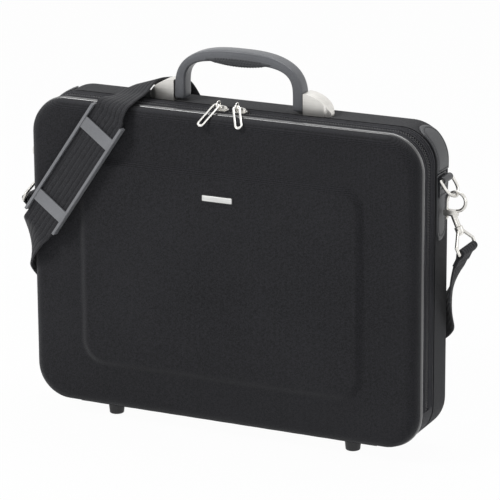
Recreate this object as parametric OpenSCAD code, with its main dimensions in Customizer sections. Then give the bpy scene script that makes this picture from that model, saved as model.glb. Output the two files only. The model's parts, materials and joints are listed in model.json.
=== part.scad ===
// Laptop hard case: a moulded case with a wrap-round zip, a folding handle
// and a shoulder strap. Millimetres, +Z up, the front looks along -Y.
// Depths are counted from the front face of the piping, backwards.

/* [Body] */
// Width over the piping
body_width = 420; // [400:1:440]
// Height over the piping, without the feet
body_height = 316.5; // [300:0.5:330]
// Outer corner radius of the piping
corner_radius = 37; // [32:1:42]
// Depth of the front shell in front of the piping
front_depth = 12; // [12:0.5:16]
// Rounding of the front shell's edge
front_rounding = 11.5; // [6:0.5:11.5]
// Piping thickness
piping_size = 5; // [4:0.5:6]
// Depth of the front zip tape
front_tape = 11; // [8:0.5:14]
// Slot between the two zip tapes
zip_slot = 1.6; // [1.6:0.1:2.2]
// Depth of the rear zip tape
rear_tape = 13.6; // [10:0.1:16]
// Depth of the rear shell behind the tape
rear_depth = 38; // [36:0.5:46]
// Rounding of the rear shell's edge
rear_rounding = 7; // [5:0.5:16]
// How far the shells sit inside the piping
shell_inset = 1; // [0.5:0.1:1.5]
// Wall of the shells
shell_wall = 2; // [1.6:0.1:2.4]
// Thickness of the linings
lining_wall = 1.2; // [0.8:0.1:1.6]

/* [Raised panel and badge] */
// Width of the raised panel
panel_width = 308; // [260:1:330]
// Height of the raised panel
panel_height = 218; // [180:1:235]
// Height of the panel's centre above the shell's lower edge
panel_centre = 154; // [150:1:160]
// Corner radius of the panel
panel_radius = 26; // [16:1:34]
// How far the panel stands out
panel_rise = 3.5; // [2:0.5:5]
// Length of the badge plate
badge_length = 32; // [20:1:44]
// Height of the badge plate
badge_height = 5.5; // [4:0.5:8]
// Thickness of the badge plate
badge_thickness = 1.2; // [0.8:0.1:2]
// Height of the badge above the shell's lower edge
badge_level = 235; // [220:1:240]

/* [Feet] */
// Height of the feet
foot_height = 14; // [10:0.5:18]
// Largest foot diameter
foot_diameter = 17.5; // [14:0.5:17.5]
// Spacing of the feet across the case
foot_spacing = 262; // [220:2:290]
// Depth of the front feet
front_foot_depth = 16.5; // [16:0.5:20]
// Depth of the rear feet
rear_foot_depth = 54; // [50:0.5:54]

/* [Handle] */
// Width over the legs
handle_width = 139; // [120:1:150]
// Height of the handle over the case
handle_rise = 56; // [52:0.5:66]
// Depth of the handle
handle_depth = 17; // [14:0.5:18]
// Width of one leg
leg_width = 11.5; // [10:0.5:13]
// Height of the finger gap over the pivot
finger_rise = 33; // [28:0.5:35]
// Depth of the handle's middle plane
handle_plane = 41; // [41:0.5:45]
// Height of the pivot over the case
pivot_height = 10; // [9.5:0.5:12]
// Diameter of the pivot pins
pivot_pin = 5; // [4:0.5:6]
// Length of a handle cap
cap_length = 29; // [26:1:34]
// Height of a handle cap at the leg
cap_height = 21; // [19:0.5:24]
// Length of the soft insert
insert_length = 70; // [50:1:76]
// Sag of the insert in the middle
insert_sag = 4.5; // [3:0.5:5.5]

/* [Zip sliders] */
// Distance of each slider from the middle
slider_offset = 10; // [9:0.5:14]
// Length of a slider
slider_length = 13; // [11:0.5:15]
// Width of a slider across the zip
slider_width = 10; // [9:0.5:11]
// Width of a pull
pull_width = 8; // [7:0.5:10]
// Width of the slot in a pull
pull_slot = 4; // [3.5:0.1:4.4]
// Thickness of a pull
pull_thickness = 1.5; // [1.2:0.1:1.8]
// Wire of the slider links
link_wire = 1.2; // [1:0.1:1.4]

/* [Rings and hooks] */
// Wire of the D-rings
ring_wire = 3.2; // [2.8:0.1:3.6]
// Width of the D-rings
ring_width = 30; // [26:1:32]
// Tilt of the D-rings below level
ring_tilt = 55; // [45:1:65]
// Wire of the snap hooks
hook_wire = 3.4; // [3:0.1:3.6]
// Middle radius of the hook's bow
hook_bow = 9.4; // [9:0.1:11]
// Wire of the strap eyes
eye_wire = 3.4; // [3:0.1:3.8]
// Width inside the strap eyes
eye_width = 38; // [37:1:42]

/* [Strap] */
// Width of the webbing
webbing_width = 36; // [32:1:36]
// Thickness of the webbing
webbing_thickness = 1.8; // [1.4:0.1:2.2]
// Length of the shoulder pad
pad_length = 140; // [120:1:150]
// Width of the shoulder pad
pad_width = 42; // [41:0.5:50]
// Thickness of the pad's rails
pad_thickness = 6; // [5:0.5:8]

/* [Hidden] */

$fn = 48;

// Gap between pieces that sit against each other
seat = 0.3;
// Radial clearance of a turning pin in its bore
pin_fit = 0.05;
// Radial clearance of a screw in its hole
screw_fit = 0.3;
// Small overlap that joins the parts of one piece
weld = 0.1;

// Places along the depth
tape_front = piping_size + seat;
slot_front = tape_front + front_tape;
zip_line = slot_front + zip_slot / 2;
slot_rear = slot_front + zip_slot;
tape_rear = slot_rear + rear_tape;
shell_front = tape_rear + seat;
groove_depth = 2;
case_back = shell_front + rear_depth;
strap_plane = case_back + 10;
pad_front = -front_depth - panel_rise - 1 - pad_thickness - 1.5;
middle_depth = (strap_plane + webbing_thickness / 2 + pad_front) / 2;

// Places across and up
half_w = body_width / 2;
half_h = body_height / 2;
mid_z = foot_height + half_h;
top_z = foot_height + body_height;
case_top = top_z - shell_inset;
case_bottom = foot_height + shell_inset;
side_x = half_w - shell_inset;
straight_w = half_w - corner_radius;
straight_h = half_h - corner_radius;

// Tapes and coils
tape_wall = 1.6;
tape_inset = shell_inset + 0.2;
coil_wall = 1.4;
coil_width = 2.3;
coil_inset = tape_inset + tape_wall + seat;

// Linings
lining_inset = shell_inset + shell_wall + seat;
inner_top = top_z - lining_inset - lining_wall;
inner_bottom = foot_height + lining_inset + lining_wall;
inner_front = -front_depth + shell_wall + seat + lining_wall;
inner_half_w = half_w - lining_inset - lining_wall;

// Foam blocks, belt and pocket inside
cradle_length = 55;
cradle_size = 10;
belt_width = 40;
belt_wall = 1.4;
pocket_width = 300;
pocket_height = 190;
pocket_corner = 12;
pocket_wall = 1.4;
pocket_drop = 25;

// Patches and ring seats
chain_depth = 45;
patch_wall = 1.5;
patch_front = shell_front + groove_depth + 0.5;
patch_back = case_back - rear_rounding;
patch_width = patch_back - patch_front;
tongue_width = 2 * (chain_depth - patch_front);
patch_end = top_z - 113.5;
hem_drop = 8.5;
hem_z = top_z - corner_radius - hem_drop;
loop_wall = 2;
loop_width = ring_width - 2 * ring_wire - 3;
ring_r = ring_wire / 2;
loop_r = ring_r + loop_wall;
ring_x = side_x + 2 * seat + patch_wall + loop_r;
ring_z = top_z - 51;
ring_bow = (ring_width - ring_wire) / 2;
ring_reach = ring_bow + 6;

// Hooks: the bow's middle, the block under it and the swivel
hook_r = hook_wire / 2;
apex_x = ring_x + ring_reach * cos(ring_tilt);
apex_z = ring_z - ring_reach * sin(ring_tilt);
hook_x = apex_x;
hook_z = apex_z + ring_r + hook_r + 0.2 - hook_bow;
gate_pin = 0.9;
gate_disc = 2.3;
gate_disc_width = 2.6;
block_width = 5.4;
block_top = -hook_bow + 0.6;
block_low = block_top - 5.8;
swivel_tilt = 24;
swivel_x = hook_x - 2.5;
swivel_z = hook_z + block_low;
shank_r = 3;
shank_length = 11;
spigot_r = 1.8;
boss_r = 4.2;
boss_length = 6;
head_r = 2.8;
head_length = 2;
eye_r = eye_wire / 2;
eye_drop = 35;
eye_straight = 7;
eye_half = eye_width / 2 + eye_r;
end_bend = 49.5;
end_loop_gap = 0.35;
end_loop_r = eye_r + end_loop_gap + webbing_thickness;
end_tab = 15;

// Handle: the powers set how square its outer and inner outlines are
crown_power = 2.7;
gap_power = 4;
handle_half = handle_width / 2;
handle_inner = handle_half - leg_width;
pivot_z = top_z + pivot_height;
handle_r = handle_depth / 2;
cap_x = handle_half + seat;
cap_depth = handle_depth + 0.5;
cap_base = case_top + seat;
cap_end = cap_x + cap_length;
cap_drop = (cap_length * cap_length + 4 - cap_height * cap_height) / (2 * cap_height - 4);
pin_r = pivot_pin / 2;
pin_grip = 8;
handle_screw_r = 2;
handle_screw_near = cap_x + 0.5 * cap_length;
handle_screw_far = cap_x + 0.76 * cap_length;
handle_screw_top = cap_base + 7.5;
plate_wall = 2;
plate_top = inner_top - seat;
insert_r = (insert_length * insert_length / 4 + insert_sag * insert_sag) / (2 * insert_sag);
insert_top = pivot_z + finger_rise + 1.5;

// Feet
foot_top = case_bottom - seat;
foot_x = foot_spacing / 2;
foot_screw_r = 1.5;
foot_head_r = 3.2;
foot_recess = 4;

// Zip sliders, links and pulls
slider_plate = 1.3;
slider_post = 1;
slider_deck = top_z - tape_inset + seat;
slider_top = slider_deck + slider_plate;
slider_floor = top_z - coil_inset - coil_wall - seat;
bridge_r = 0.8;
bridge_half = 4;
bridge_depth = zip_line - slider_width / 2;
bridge_z = slider_top + 4.4;
band_back = 4.2;
band_up = 2.6;
band_r = 0.8;
link_span = norm([band_back, band_up]);
link_r = link_wire / 2;
link_bow = link_span / 2 + 1.25 + link_r;
pull_length = 33;
pull_tilt = 59;
lean_left = 13.5;
lean_right = -26.5;

// Strap and pad: the webbing runs through the pad in one flat plane
pad_back = -front_depth - panel_rise - 1;
web_plane = pad_front + 4.1;
strap_lane = -cap_end - 13.2;
pad_x = strap_lane - 42.5;
pad_z = top_z - 67;
pad_tilt = 34;
pad_roll = 6;
pad_bar = 13.5;
pad_inset = 15;
pad_bar_wall = 1.6;
pad_wall = (pad_width - webbing_width) / 2 - 0.3;

// Point on the middle line of the pad, counted down from its middle
function pad_point(s) = [pad_x - s * sin(pad_tilt), web_plane, pad_z - s * cos(pad_tilt)];
pad_across = [cos(pad_tilt) * cos(pad_roll), -sin(pad_roll), -sin(pad_tilt) * cos(pad_roll)];

eye_bar_x = swivel_x + eye_drop * sin(swivel_tilt);
eye_bar_z = swivel_z - eye_drop * cos(swivel_tilt);
end_turn = end_bend - swivel_tilt;
tail_x = eye_bar_x - (end_tab + seat) * sin(end_turn);
tail_z = eye_bar_z - (end_tab + seat) * cos(end_turn);
back_plane = strap_plane;
adjuster_x = 31;
adjuster_level = 98;
adjuster_height = 26;
adjuster_wall = 2;
adjuster_rim = 4;

// Webbing: each place has its middle point and its width direction
right_join = [[half_w - 18, back_plane, foot_height + 106], [-0.65, 0, 0.76]];
left_join = [[-half_w - 16, back_plane, foot_height + 87], [0, -0.04, -1]];

back_path = [
  right_join,
  [[half_w - 50, back_plane, foot_height + 81], [-0.5, 0, 0.87]],
  [[110, back_plane, foot_height + 65], [0, 0, 1]],
  [[55, back_plane, foot_height + 80], [0.47, 0, 0.88]],
  [[8, back_plane, foot_height + 121], [0.73, 0, 0.68]],
  [[-32, back_plane, top_z - 140], [0.86, 0, 0.5]],
  [[-58, back_plane, top_z - 80], [0.94, 0, 0.35]],
  [[strap_lane + 38, back_plane, top_z - 28], [0.95, 0, 0.3]]
];
top_path = [
  [[strap_lane + 29, case_back + 9.5, top_z - 6], [0.96, -0.05, 0.26]],
  [[strap_lane + 21, case_back + 2.5, top_z + 7], [0.95, -0.1, 0.3]],
  [[strap_lane + 10.5, handle_plane + 14, top_z + 11], [0.94, -0.15, 0.31]],
  [[strap_lane + 3, handle_plane, top_z + 9.4], [0.943, -0.05, 0.33]],
  [[strap_lane + 1.5, handle_plane - 19, top_z + 4.6], [0.96, -0.2, 0.16]],
  [[strap_lane + 1, 5, top_z + 3.4], [0.94, -0.32, 0.06]],
  [[strap_lane, web_plane + 10, top_z + 2.4], [0.91, -0.38, -0.14]],
  [[strap_lane - 1.8, web_plane + 2.4, top_z - 1.6], [0.87, -0.24, -0.43]]
];
pad_path = [
  for (s = [-pad_length / 2 - 2, -pad_length / 2 + 10, -pad_length / 4, 0, pad_length / 4,
    pad_length / 2 - 10, pad_length / 2 + 2, pad_length / 2 + 9]) [pad_point(s), pad_across]
];
side_path = [
  [[-half_w + 5.5, web_plane + 3.9, top_z - 140.5], [0.72, -0.45, -0.53]],
  [[-half_w - 0.6, -8.4, top_z - 152.5], [0.5, -0.68, -0.53]],
  [[-half_w - 4, 4, top_z - 166.5], [0.15, -0.83, -0.53]],
  [[-half_w - 3.5, 20, foot_height + 135], [0, -0.85, -0.53]],
  [[-half_w - 4, 42, foot_height + 118], [0, -0.8, -0.6]],
  [[-half_w - 6.5, back_plane - 14, foot_height + 102], [0, -0.62, -0.79]],
  [[-half_w - 11, back_plane - 3.5, foot_height + 92], [0, -0.34, -0.94]],
  left_join
];
right_tail_path = [
  [[tail_x, chain_depth, tail_z], [0, 1, 0]],
  [[tail_x - 4, chain_depth + 1, tail_z - 12], [-0.05, 0.98, 0.15]],
  [[half_w + 9.5, chain_depth + 8, foot_height + 154], [-0.2, 0.9, 0.38]],
  [[half_w + 3.5, chain_depth + 19, foot_height + 136], [-0.35, 0.75, 0.55]],
  [[half_w - 3.5, chain_depth + 30, foot_height + 120], [-0.5, 0.4, 0.77]],
  [right_join[0] + [0.6, 0, 0.5], right_join[1]]
];
left_tail_path = [
  [left_join[0] + [-0.8, 0, 0], left_join[1]],
  [[-half_w - 22, back_plane - 3, foot_height + 89], [0, -0.34, -0.94]],
  [[-half_w - 23.5, back_plane - 12, foot_height + 98], [0, -0.62, -0.79]],
  [[-half_w - 20, chain_depth + 13, foot_height + 117], [0, -0.85, -0.52]],
  [[-half_w - 16.5, chain_depth + 5, foot_height + 146], [0, -0.97, -0.24]],
  [[-tail_x + 4, chain_depth + 1, tail_z - 12], [0, -1, -0.05]],
  [[-tail_x, chain_depth, tail_z], [0, -1, 0]]
];

// Places a piece drawn in depths so that the whole stands over the origin
module in_frame() {
  translate([0, -middle_depth, 0]) children();
}

// Places a piece drawn on the case's outline: X across, Y up, Z backwards
module on_outline() {
  in_frame() translate([0, 0, mid_z]) mirror([0, 1, 0]) rotate([90, 0, 0]) children();
}

// Turns the pieces of one side into those of the other
module to_side(left) {
  if (left) mirror([1, 0, 0]) children();
  else children();
}

// Draws a profile for the outline: X inwards from the piping, Y backwards
module inwards() {
  translate([corner_radius, 0]) mirror([1, 0]) children();
}

function across(k) = k % 2 == 0 ? straight_w : straight_h;
function along(k) = k % 2 == 0 ? straight_h : straight_w;

// One straight run of the outline: 0 right, 1 top, 2 left, 3 bottom
module run(k, cut = 0) {
  rotate([0, 0, 90 * k]) translate([across(k), along(k), 0]) rotate([90, 0, 0])
    linear_extrude(2 * along(k) - cut) inwards() children();
}

// One corner of the outline: 0 top right, 1 top left, 2 and 3 the lower ones
module bend(k, angle = 90) {
  rotate([0, 0, 90 * k]) translate([across(k), along(k), 0])
    rotate_extrude(angle = angle, $fn = 96) inwards() children();
}

module whole_outline() {
  for (k = [0:3]) {
    run(k) children();
    bend(k) children();
  }
}

// The three sides that the zip goes round
module zip_outline() {
  for (left = [false, true]) {
    to_side(left) run(0, seat) children();
    to_side(left) bend(0) children();
  }
  run(1) children();
}

// The lower side with both lower corners
module low_outline() {
  run(3) children();
  bend(3) children();
  to_side(true) bend(3) children();
}

// Solid edge of a tray: outer face at Y = 0, open end at Y = depth
module edge_profile(inset, depth, rounding) {
  translate([inset + rounding, 0]) square([corner_radius - inset - rounding, depth]);
  translate([inset, rounding]) square([rounding + weld, depth - rounding]);
  translate([inset + rounding, rounding]) intersection() {
    circle(rounding, $fn = 64);
    translate([-rounding, -rounding]) square(rounding + weld);
  }
}

module tray_profile(inset, depth, rounding, wall) {
  difference() {
    edge_profile(inset, depth, rounding);
    translate([0, wall]) edge_profile(inset + wall, depth, max(rounding - wall, 0.5));
  }
}

// Open tray with its outer face at Z = 0
module tray(inset, depth, rounding, wall) {
  whole_outline() tray_profile(inset, depth, rounding, wall);
  translate([-straight_w, -straight_h, 0])
    cube([2 * straight_w, 2 * straight_h, wall]);
}

module rounded_plate(width, height, radius, thickness) {
  linear_extrude(thickness) {
    square([width - 2 * radius, height], center = true);
    square([width, height - 2 * radius], center = true);
    for (x = [-1, 1], y = [-1, 1])
      translate([x * (width / 2 - radius), y * (height / 2 - radius)]) circle(radius);
  }
}

// Cylinder along the depth, from the first depth to the second
module depth_pin(x, z, front, back, radius) {
  translate([x, front, z]) rotate([-90, 0, 0]) cylinder(back - front, radius, radius);
}

// Cylinder across the case
module cross_pin(x, depth, z, length, radius) {
  translate([x, depth, z]) rotate([0, 90, 0]) cylinder(length, radius, radius);
}

module at_screws() {
  for (x = [handle_screw_near, handle_screw_far], s = [-1, 1])
    translate([s * x, handle_plane, 0]) children();
}

module at_feet() {
  for (s = [-1, 1], c = [front_foot_depth, rear_foot_depth])
    translate([s * foot_x, c, 0]) children();
}

// Upright hole or shank between two heights
module post(low, high, radius) {
  translate([0, 0, low]) cylinder(high - low, radius, radius);
}

module rear_shell() {
  color([0.10, 0.10, 0.11]) difference() {
    union() {
      on_outline() {
        translate([0, 0, case_back]) mirror([0, 0, 1])
          tray(shell_inset, rear_depth - groove_depth, rear_rounding, shell_wall);
        translate([0, 0, shell_front]) whole_outline()
          translate([shell_inset + 0.9, 0]) square([shell_wall - 0.9, groove_depth + weld]);
      }
    }
    in_frame() {
      at_screws() post(inner_top, cap_base, handle_screw_r + screw_fit);
      translate([0, rear_foot_depth - front_foot_depth, 0])
        for (s = [-1, 1]) translate([s * foot_x, front_foot_depth, 0])
          post(case_bottom - 1, case_bottom + 6, foot_screw_r + screw_fit);
    }
  }
}

module rear_lining() {
  color([0.30, 0.30, 0.32]) difference() {
    on_outline() translate([0, 0, case_back - shell_wall - seat]) mirror([0, 0, 1])
      tray(lining_inset, rear_depth - shell_wall - 2 * seat,
            rear_rounding - shell_wall - seat, lining_wall);
    in_frame() {
      at_screws() post(inner_top - 1, cap_base, handle_screw_r + screw_fit);
      at_feet() post(case_bottom - 1, inner_bottom + 6, foot_screw_r + screw_fit);
    }
  }
}

module rear_zip_tape() {
  color([0.13, 0.13, 0.14]) on_outline() zip_outline()
    translate([tape_inset, slot_rear]) square([tape_wall, rear_tape]);
}

module rear_zip_coil() {
  color([0.08, 0.08, 0.08]) on_outline() zip_outline()
    translate([coil_inset, slot_rear]) square([coil_wall, coil_width]);
}

module bottom_gusset() {
  color([0.12, 0.12, 0.13]) difference() {
    on_outline() low_outline()
      translate([tape_inset, tape_front + 0.1])
        square([shell_wall, tape_rear - tape_front - 0.1]);
    in_frame() at_feet() post(case_bottom - 1, case_bottom + 6, foot_screw_r + screw_fit);
  }
}

module hinge_tape() {
  color([0.12, 0.12, 0.13]) in_frame()
    translate([-straight_w + 10, 0.5, foot_height - 0.9])
      cube([2 * straight_w - 20, tape_front + 1.5, 0.6]);
}

// Patch round an upper corner, from the top down to its hem on the side
module corner_patch(left) {
  color([0.14, 0.14, 0.15]) on_outline() to_side(left) {
    bend(0) patch_profile();
    run(0, 2 * straight_h - hem_drop) patch_profile();
  }
}

module patch_profile() {
  translate([shell_inset - seat - patch_wall, patch_front]) square([patch_wall, patch_width]);
}

// Tongue on the side under the hem, with a round lower end
module side_patch(left) {
  color([0.14, 0.14, 0.15]) in_frame() to_side(left)
    translate([side_x + seat, chain_depth, 0])
      rotate([90, 0, 90]) linear_extrude(patch_wall) {
        translate([-tongue_width / 2, patch_end + tongue_width / 2])
          square([tongue_width, hem_z - seat - patch_end - tongue_width / 2]);
        translate([0, patch_end + tongue_width / 2]) circle(tongue_width / 2);
      }
}

// Loop on the tongue that holds the bar of the D-ring
module side_loop(left) {
  color([0.14, 0.14, 0.15]) in_frame() to_side(left) difference() {
    union() {
      depth_pin(ring_x, ring_z, chain_depth - loop_width / 2, chain_depth + loop_width / 2,
        loop_r);
      translate([side_x + 2 * seat + patch_wall, chain_depth - loop_width / 2,
        ring_z - loop_r])
        cube([loop_r, loop_width, 2 * loop_r]);
    }
    depth_pin(ring_x, ring_z, chain_depth - loop_width, chain_depth + loop_width,
      ring_r + pin_fit);
  }
}

// Metal foot of the handle: a convex slope with a round outer end
module handle_cap(left) {
  color([0.72, 0.71, 0.68]) in_frame() to_side(left) difference() {
    intersection() {
      translate([cap_x, handle_plane + cap_depth / 2, cap_base]) rotate([90, 0, 0])
        linear_extrude(cap_depth) intersection() {
          square([cap_length, cap_height]);
          translate([0, -cap_drop]) circle(cap_height + cap_drop, $fn = 128);
        }
      translate([cap_x, handle_plane, cap_base - 1]) linear_extrude(cap_height + 2) {
        translate([0, -cap_depth / 2]) square([cap_length - cap_depth / 2, cap_depth]);
        translate([cap_length - cap_depth / 2, 0]) circle(cap_depth / 2, $fn = 64);
      }
    }
    cross_pin(cap_x - 1, handle_plane, pivot_z, pin_grip + 1, pin_r + pin_fit);
    for (x = [handle_screw_near, handle_screw_far])
      translate([x, handle_plane, 0])
        post(cap_base - 1, handle_screw_top + seat, handle_screw_r + pin_fit);
  }
}

module handle_pins() {
  color([0.60, 0.60, 0.60]) in_frame() for (left = [false, true])
    to_side(left)
      cross_pin(handle_inner + 2, handle_plane, pivot_z,
        leg_width + pin_grip - 2, pin_r);
}

// Steel strip under the top that the handle is screwed to
module handle_plate() {
  color([0.60, 0.60, 0.60]) in_frame() difference() {
    translate([-handle_screw_far - 9, handle_plane - 7, plate_top - plate_wall])
      cube([2 * handle_screw_far + 18, 14, plate_wall]);
    at_screws() post(plate_top - plate_wall - 1, plate_top + 1, handle_screw_r + screw_fit);
  }
}

module handle_screws() {
  color([0.50, 0.50, 0.50]) in_frame() at_screws() {
    post(plate_top - plate_wall - seat - 2.2, plate_top - plate_wall - seat, 3.6);
    post(plate_top - plate_wall - seat - weld, handle_screw_top, handle_screw_r);
  }
}

module feet() {
  color([0.08, 0.08, 0.08]) in_frame() at_feet() difference() {
    cylinder(foot_top, foot_diameter / 2 - 1.5, foot_diameter / 2);
    post(-1, foot_top + 1, foot_screw_r + pin_fit);
    post(-1, foot_recess, foot_head_r + screw_fit);
  }
}

// Screws of the feet with their nuts inside the case
module feet_screws() {
  color([0.50, 0.50, 0.50]) in_frame() at_feet() {
    post(foot_recess - 2.2, foot_recess - 0.05, foot_head_r);
    post(foot_recess - 0.5, inner_bottom + 1.8, foot_screw_r);
    difference() {
      post(inner_bottom + seat, inner_bottom + 2.3, 3.5);
      post(inner_bottom, inner_bottom + 3, foot_screw_r + pin_fit);
    }
  }
}

// Small blocks that end the zip above the lower corners
module zip_stops() {
  color([0.50, 0.50, 0.50]) in_frame() for (left = [false, true]) to_side(left)
    translate([half_w - coil_inset - coil_wall, slot_rear + coil_width + 0.6,
      foot_height + corner_radius + 3])
      cube([coil_wall, 3.6, 5]);
}

// Foam blocks that hold the computer off the walls
module cradle_pads() {
  depth = patch_back - shell_front - groove_depth;
  color([0.25, 0.25, 0.27]) in_frame() for (left = [false, true]) to_side(left) {
    translate([cradle_length, shell_front + groove_depth, inner_bottom + seat])
      cube([cradle_length, depth, cradle_size]);
    translate([inner_half_w - seat - cradle_size, shell_front + groove_depth,
      mid_z - cradle_length - 5])
      cube([cradle_size, depth, cradle_length]);
  }
}

// Belt that holds the computer down, standing in front of it
module retaining_belt() {
  color([0.18, 0.18, 0.19]) in_frame()
    translate([-belt_width / 2, shell_front + groove_depth, inner_bottom + seat])
      cube([belt_width, belt_wall, plate_top - plate_wall - inner_bottom - 2 * seat]);
}

module front_shell() {
  color([0.10, 0.10, 0.11]) on_outline() {
    translate([0, 0, -front_depth])
      tray(shell_inset, front_depth - seat, front_rounding, shell_wall);
    translate([0, panel_centre - half_h, -front_depth - panel_rise / 2])
      rounded_plate(panel_width, panel_height, panel_radius, panel_rise / 2 + weld);
    translate([0, panel_centre - half_h, -front_depth - panel_rise])
      rounded_plate(panel_width - 3, panel_height - 3, panel_radius - 1.5, panel_rise / 2 + weld);
  }
}

module front_lining() {
  color([0.30, 0.30, 0.32]) on_outline()
    translate([0, 0, -front_depth + shell_wall + seat])
      tray(lining_inset, front_depth - shell_wall - 2 * seat,
        front_rounding - shell_wall - seat, lining_wall);
}

module front_piping() {
  color([0.05, 0.05, 0.05]) on_outline() whole_outline() {
    translate([piping_size / 2, piping_size / 2]) circle(piping_size / 2);
    translate([piping_size / 2, 0.6]) square([piping_size / 2 + 4, piping_size - 1.2]);
  }
}

module front_zip_tape() {
  color([0.13, 0.13, 0.14]) on_outline() zip_outline()
    translate([tape_inset, tape_front]) square([tape_wall, front_tape]);
}

module front_zip_coil() {
  color([0.08, 0.08, 0.08]) on_outline() zip_outline()
    translate([coil_inset, slot_front - coil_width]) square([coil_wall, coil_width]);
}

module badge() {
  color([0.75, 0.75, 0.76]) on_outline()
    translate([0, badge_level - half_h, -front_depth - panel_rise - badge_thickness])
      rounded_plate(badge_length, badge_height, 0.8, badge_thickness);
}

// Flat pocket on the lid's lining
module lid_pocket() {
  color([0.22, 0.22, 0.24]) on_outline()
    translate([0, -pocket_drop, inner_front + seat])
      rounded_plate(pocket_width, pocket_height, pocket_corner, pocket_wall);
}

// Half of a rounded arch between its foot and its crown
function arch_point(w, h, power, a) =
  [w * sign(cos(a)) * pow(abs(cos(a)), 2 / power), h * pow(sin(a), 2 / power)];

module arch_area(w, h, power, low) {
  steps = 48;
  polygon(concat([[w, -low]], [for (i = [0:steps]) arch_point(w, h, power, 180 * i / steps)],
    [[-w, -low]]));
}

// Outline of the grip, drawn smaller all round by inset
module arch_outline(inset) {
  difference() {
    arch_area(handle_half - inset, handle_rise - pivot_height - inset, crown_power,
      handle_r);
    arch_area(handle_inner + inset, finger_rise + inset, gap_power, handle_r + 1);
  }
}

// The soft insert under the crown, drawn larger all round by play
module insert_shape(play) {
  translate([0, 0, insert_top - pivot_z - insert_sag + insert_r]) rotate([90, 0, 0])
    linear_extrude(handle_depth - 5 + 2 * play, center = true) intersection() {
      circle(insert_r + play, $fn = 360);
      translate([-insert_length / 2 - play, -insert_r - 1])
        square([insert_length + 2 * play, insert_sag + 1 + play]);
    }
}

module handle_grip() {
  color([0.48, 0.49, 0.51]) in_frame() translate([0, handle_plane, pivot_z]) difference() {
    intersection() {
      union() {
        rotate([90, 0, 0]) linear_extrude(handle_depth, center = true) arch_outline(1.6);
        rotate([90, 0, 0]) linear_extrude(handle_depth - 3, center = true) arch_outline(0);
      }
      rotate([90, 0, 90]) linear_extrude(handle_width + 2, center = true) {
        circle(handle_r, $fn = 64);
        translate([-handle_r, 0]) square([handle_depth, handle_rise]);
      }
    }
    insert_shape(0.05);
    for (left = [false, true]) to_side(left)
      cross_pin(handle_inner + 1.5, 0, 0, leg_width, pin_r + pin_fit);
  }
}

module handle_insert() {
  color([0.16, 0.16, 0.17]) in_frame() translate([0, handle_plane, pivot_z])
    insert_shape(0);
}

// Zip slider across the slot, with a bridge for its link
module zip_slider(left) {
  color([0.62, 0.62, 0.62]) in_frame() to_side(left) translate([slider_offset, 0, 0]) {
    for (z = [slider_deck, slider_floor - slider_plate])
      translate([0, zip_line, z]) rounded_plate(slider_length, slider_width, 3, slider_plate);
    translate([-slider_length / 4, zip_line - slider_post / 2, slider_floor - weld])
      cube([slider_length / 2, slider_post, slider_deck - slider_floor + 2 * weld]);
    for (s = [-1, 1])
      translate([s * (bridge_half - 0.8) - 0.8, bridge_depth + bridge_r - 0.1, slider_top - weld])
        cube([1.6, 2.6, bridge_z - slider_top + weld]);
    for (s = [-1, 1])
      translate([s * (bridge_half - 0.8) - 0.8, bridge_depth - bridge_r, bridge_z - bridge_r])
        cube([1.6, 2.6, 2 * bridge_r]);
    cross_pin(-bridge_half, bridge_depth, bridge_z, 2 * bridge_half, bridge_r);
  }
}

// Wire ring through the bridge and the end of the pull
module slider_link(left) {
  color([0.70, 0.70, 0.70]) in_frame() to_side(left)
    translate([slider_offset, bridge_depth - band_back / 2, bridge_z + band_up / 2])
      rotate([0, 90, 0]) rotate_extrude($fn = 64) translate([link_bow, 0]) circle(link_r);
}

// Slotted pull leaning over the front edge
module zip_pull(left, lean) {
  end_r = pull_width / 2;
  slot_r = pull_slot / 2;
  color([0.75, 0.75, 0.74]) in_frame()
    translate([left ? -slider_offset : slider_offset, bridge_depth - band_back,
      bridge_z + band_up])
      rotate([-pull_tilt, 0, 0]) rotate([0, lean, 0]) rotate([90, 0, 0])
        linear_extrude(pull_thickness, center = true) difference() {
          union() {
            translate([0, band_r - end_r]) circle(end_r);
            translate([0, band_r - pull_length + end_r]) circle(end_r);
            translate([-end_r, band_r - pull_length + end_r])
              square([pull_width, pull_length - pull_width]);
          }
          translate([0, -band_r - slot_r]) circle(slot_r);
          translate([0, end_r - pull_length + 1]) circle(slot_r);
          translate([-slot_r, end_r - pull_length + 1])
            square([pull_slot, pull_length - end_r - 1 - band_r - slot_r]);
        }
}

// Turns the X-Y plane of a profile so that it stands across the case's side
module ring_frame() {
  translate([ring_x, chain_depth, ring_z]) rotate([0, ring_tilt - 90, 0]) children();
}

module d_ring(left) {
  color([0.74, 0.73, 0.70]) in_frame() to_side(left) ring_frame() {
    rotate([90, 0, 0]) cylinder(2 * ring_bow, ring_r, ring_r, center = true);
    for (s = [-1, 1]) translate([0, s * ring_bow, 0]) {
      sphere(ring_r);
      translate([0, 0, ring_bow - ring_reach]) cylinder(ring_reach - ring_bow, ring_r, ring_r);
    }
    translate([0, 0, ring_bow - ring_reach]) rotate([90, 0, 90]) rotate([0, 0, 180])
      rotate_extrude(angle = 180, $fn = 96) translate([ring_bow, 0]) circle(ring_r);
  }
}

module hook_frame() {
  translate([hook_x, chain_depth, hook_z]) children();
}

module swivel_frame() {
  translate([swivel_x, chain_depth, swivel_z]) rotate([0, -swivel_tilt, 0]) children();
}

gate_x = -hook_bow - 0.1;
gate_z = block_top - 2.4;

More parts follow.
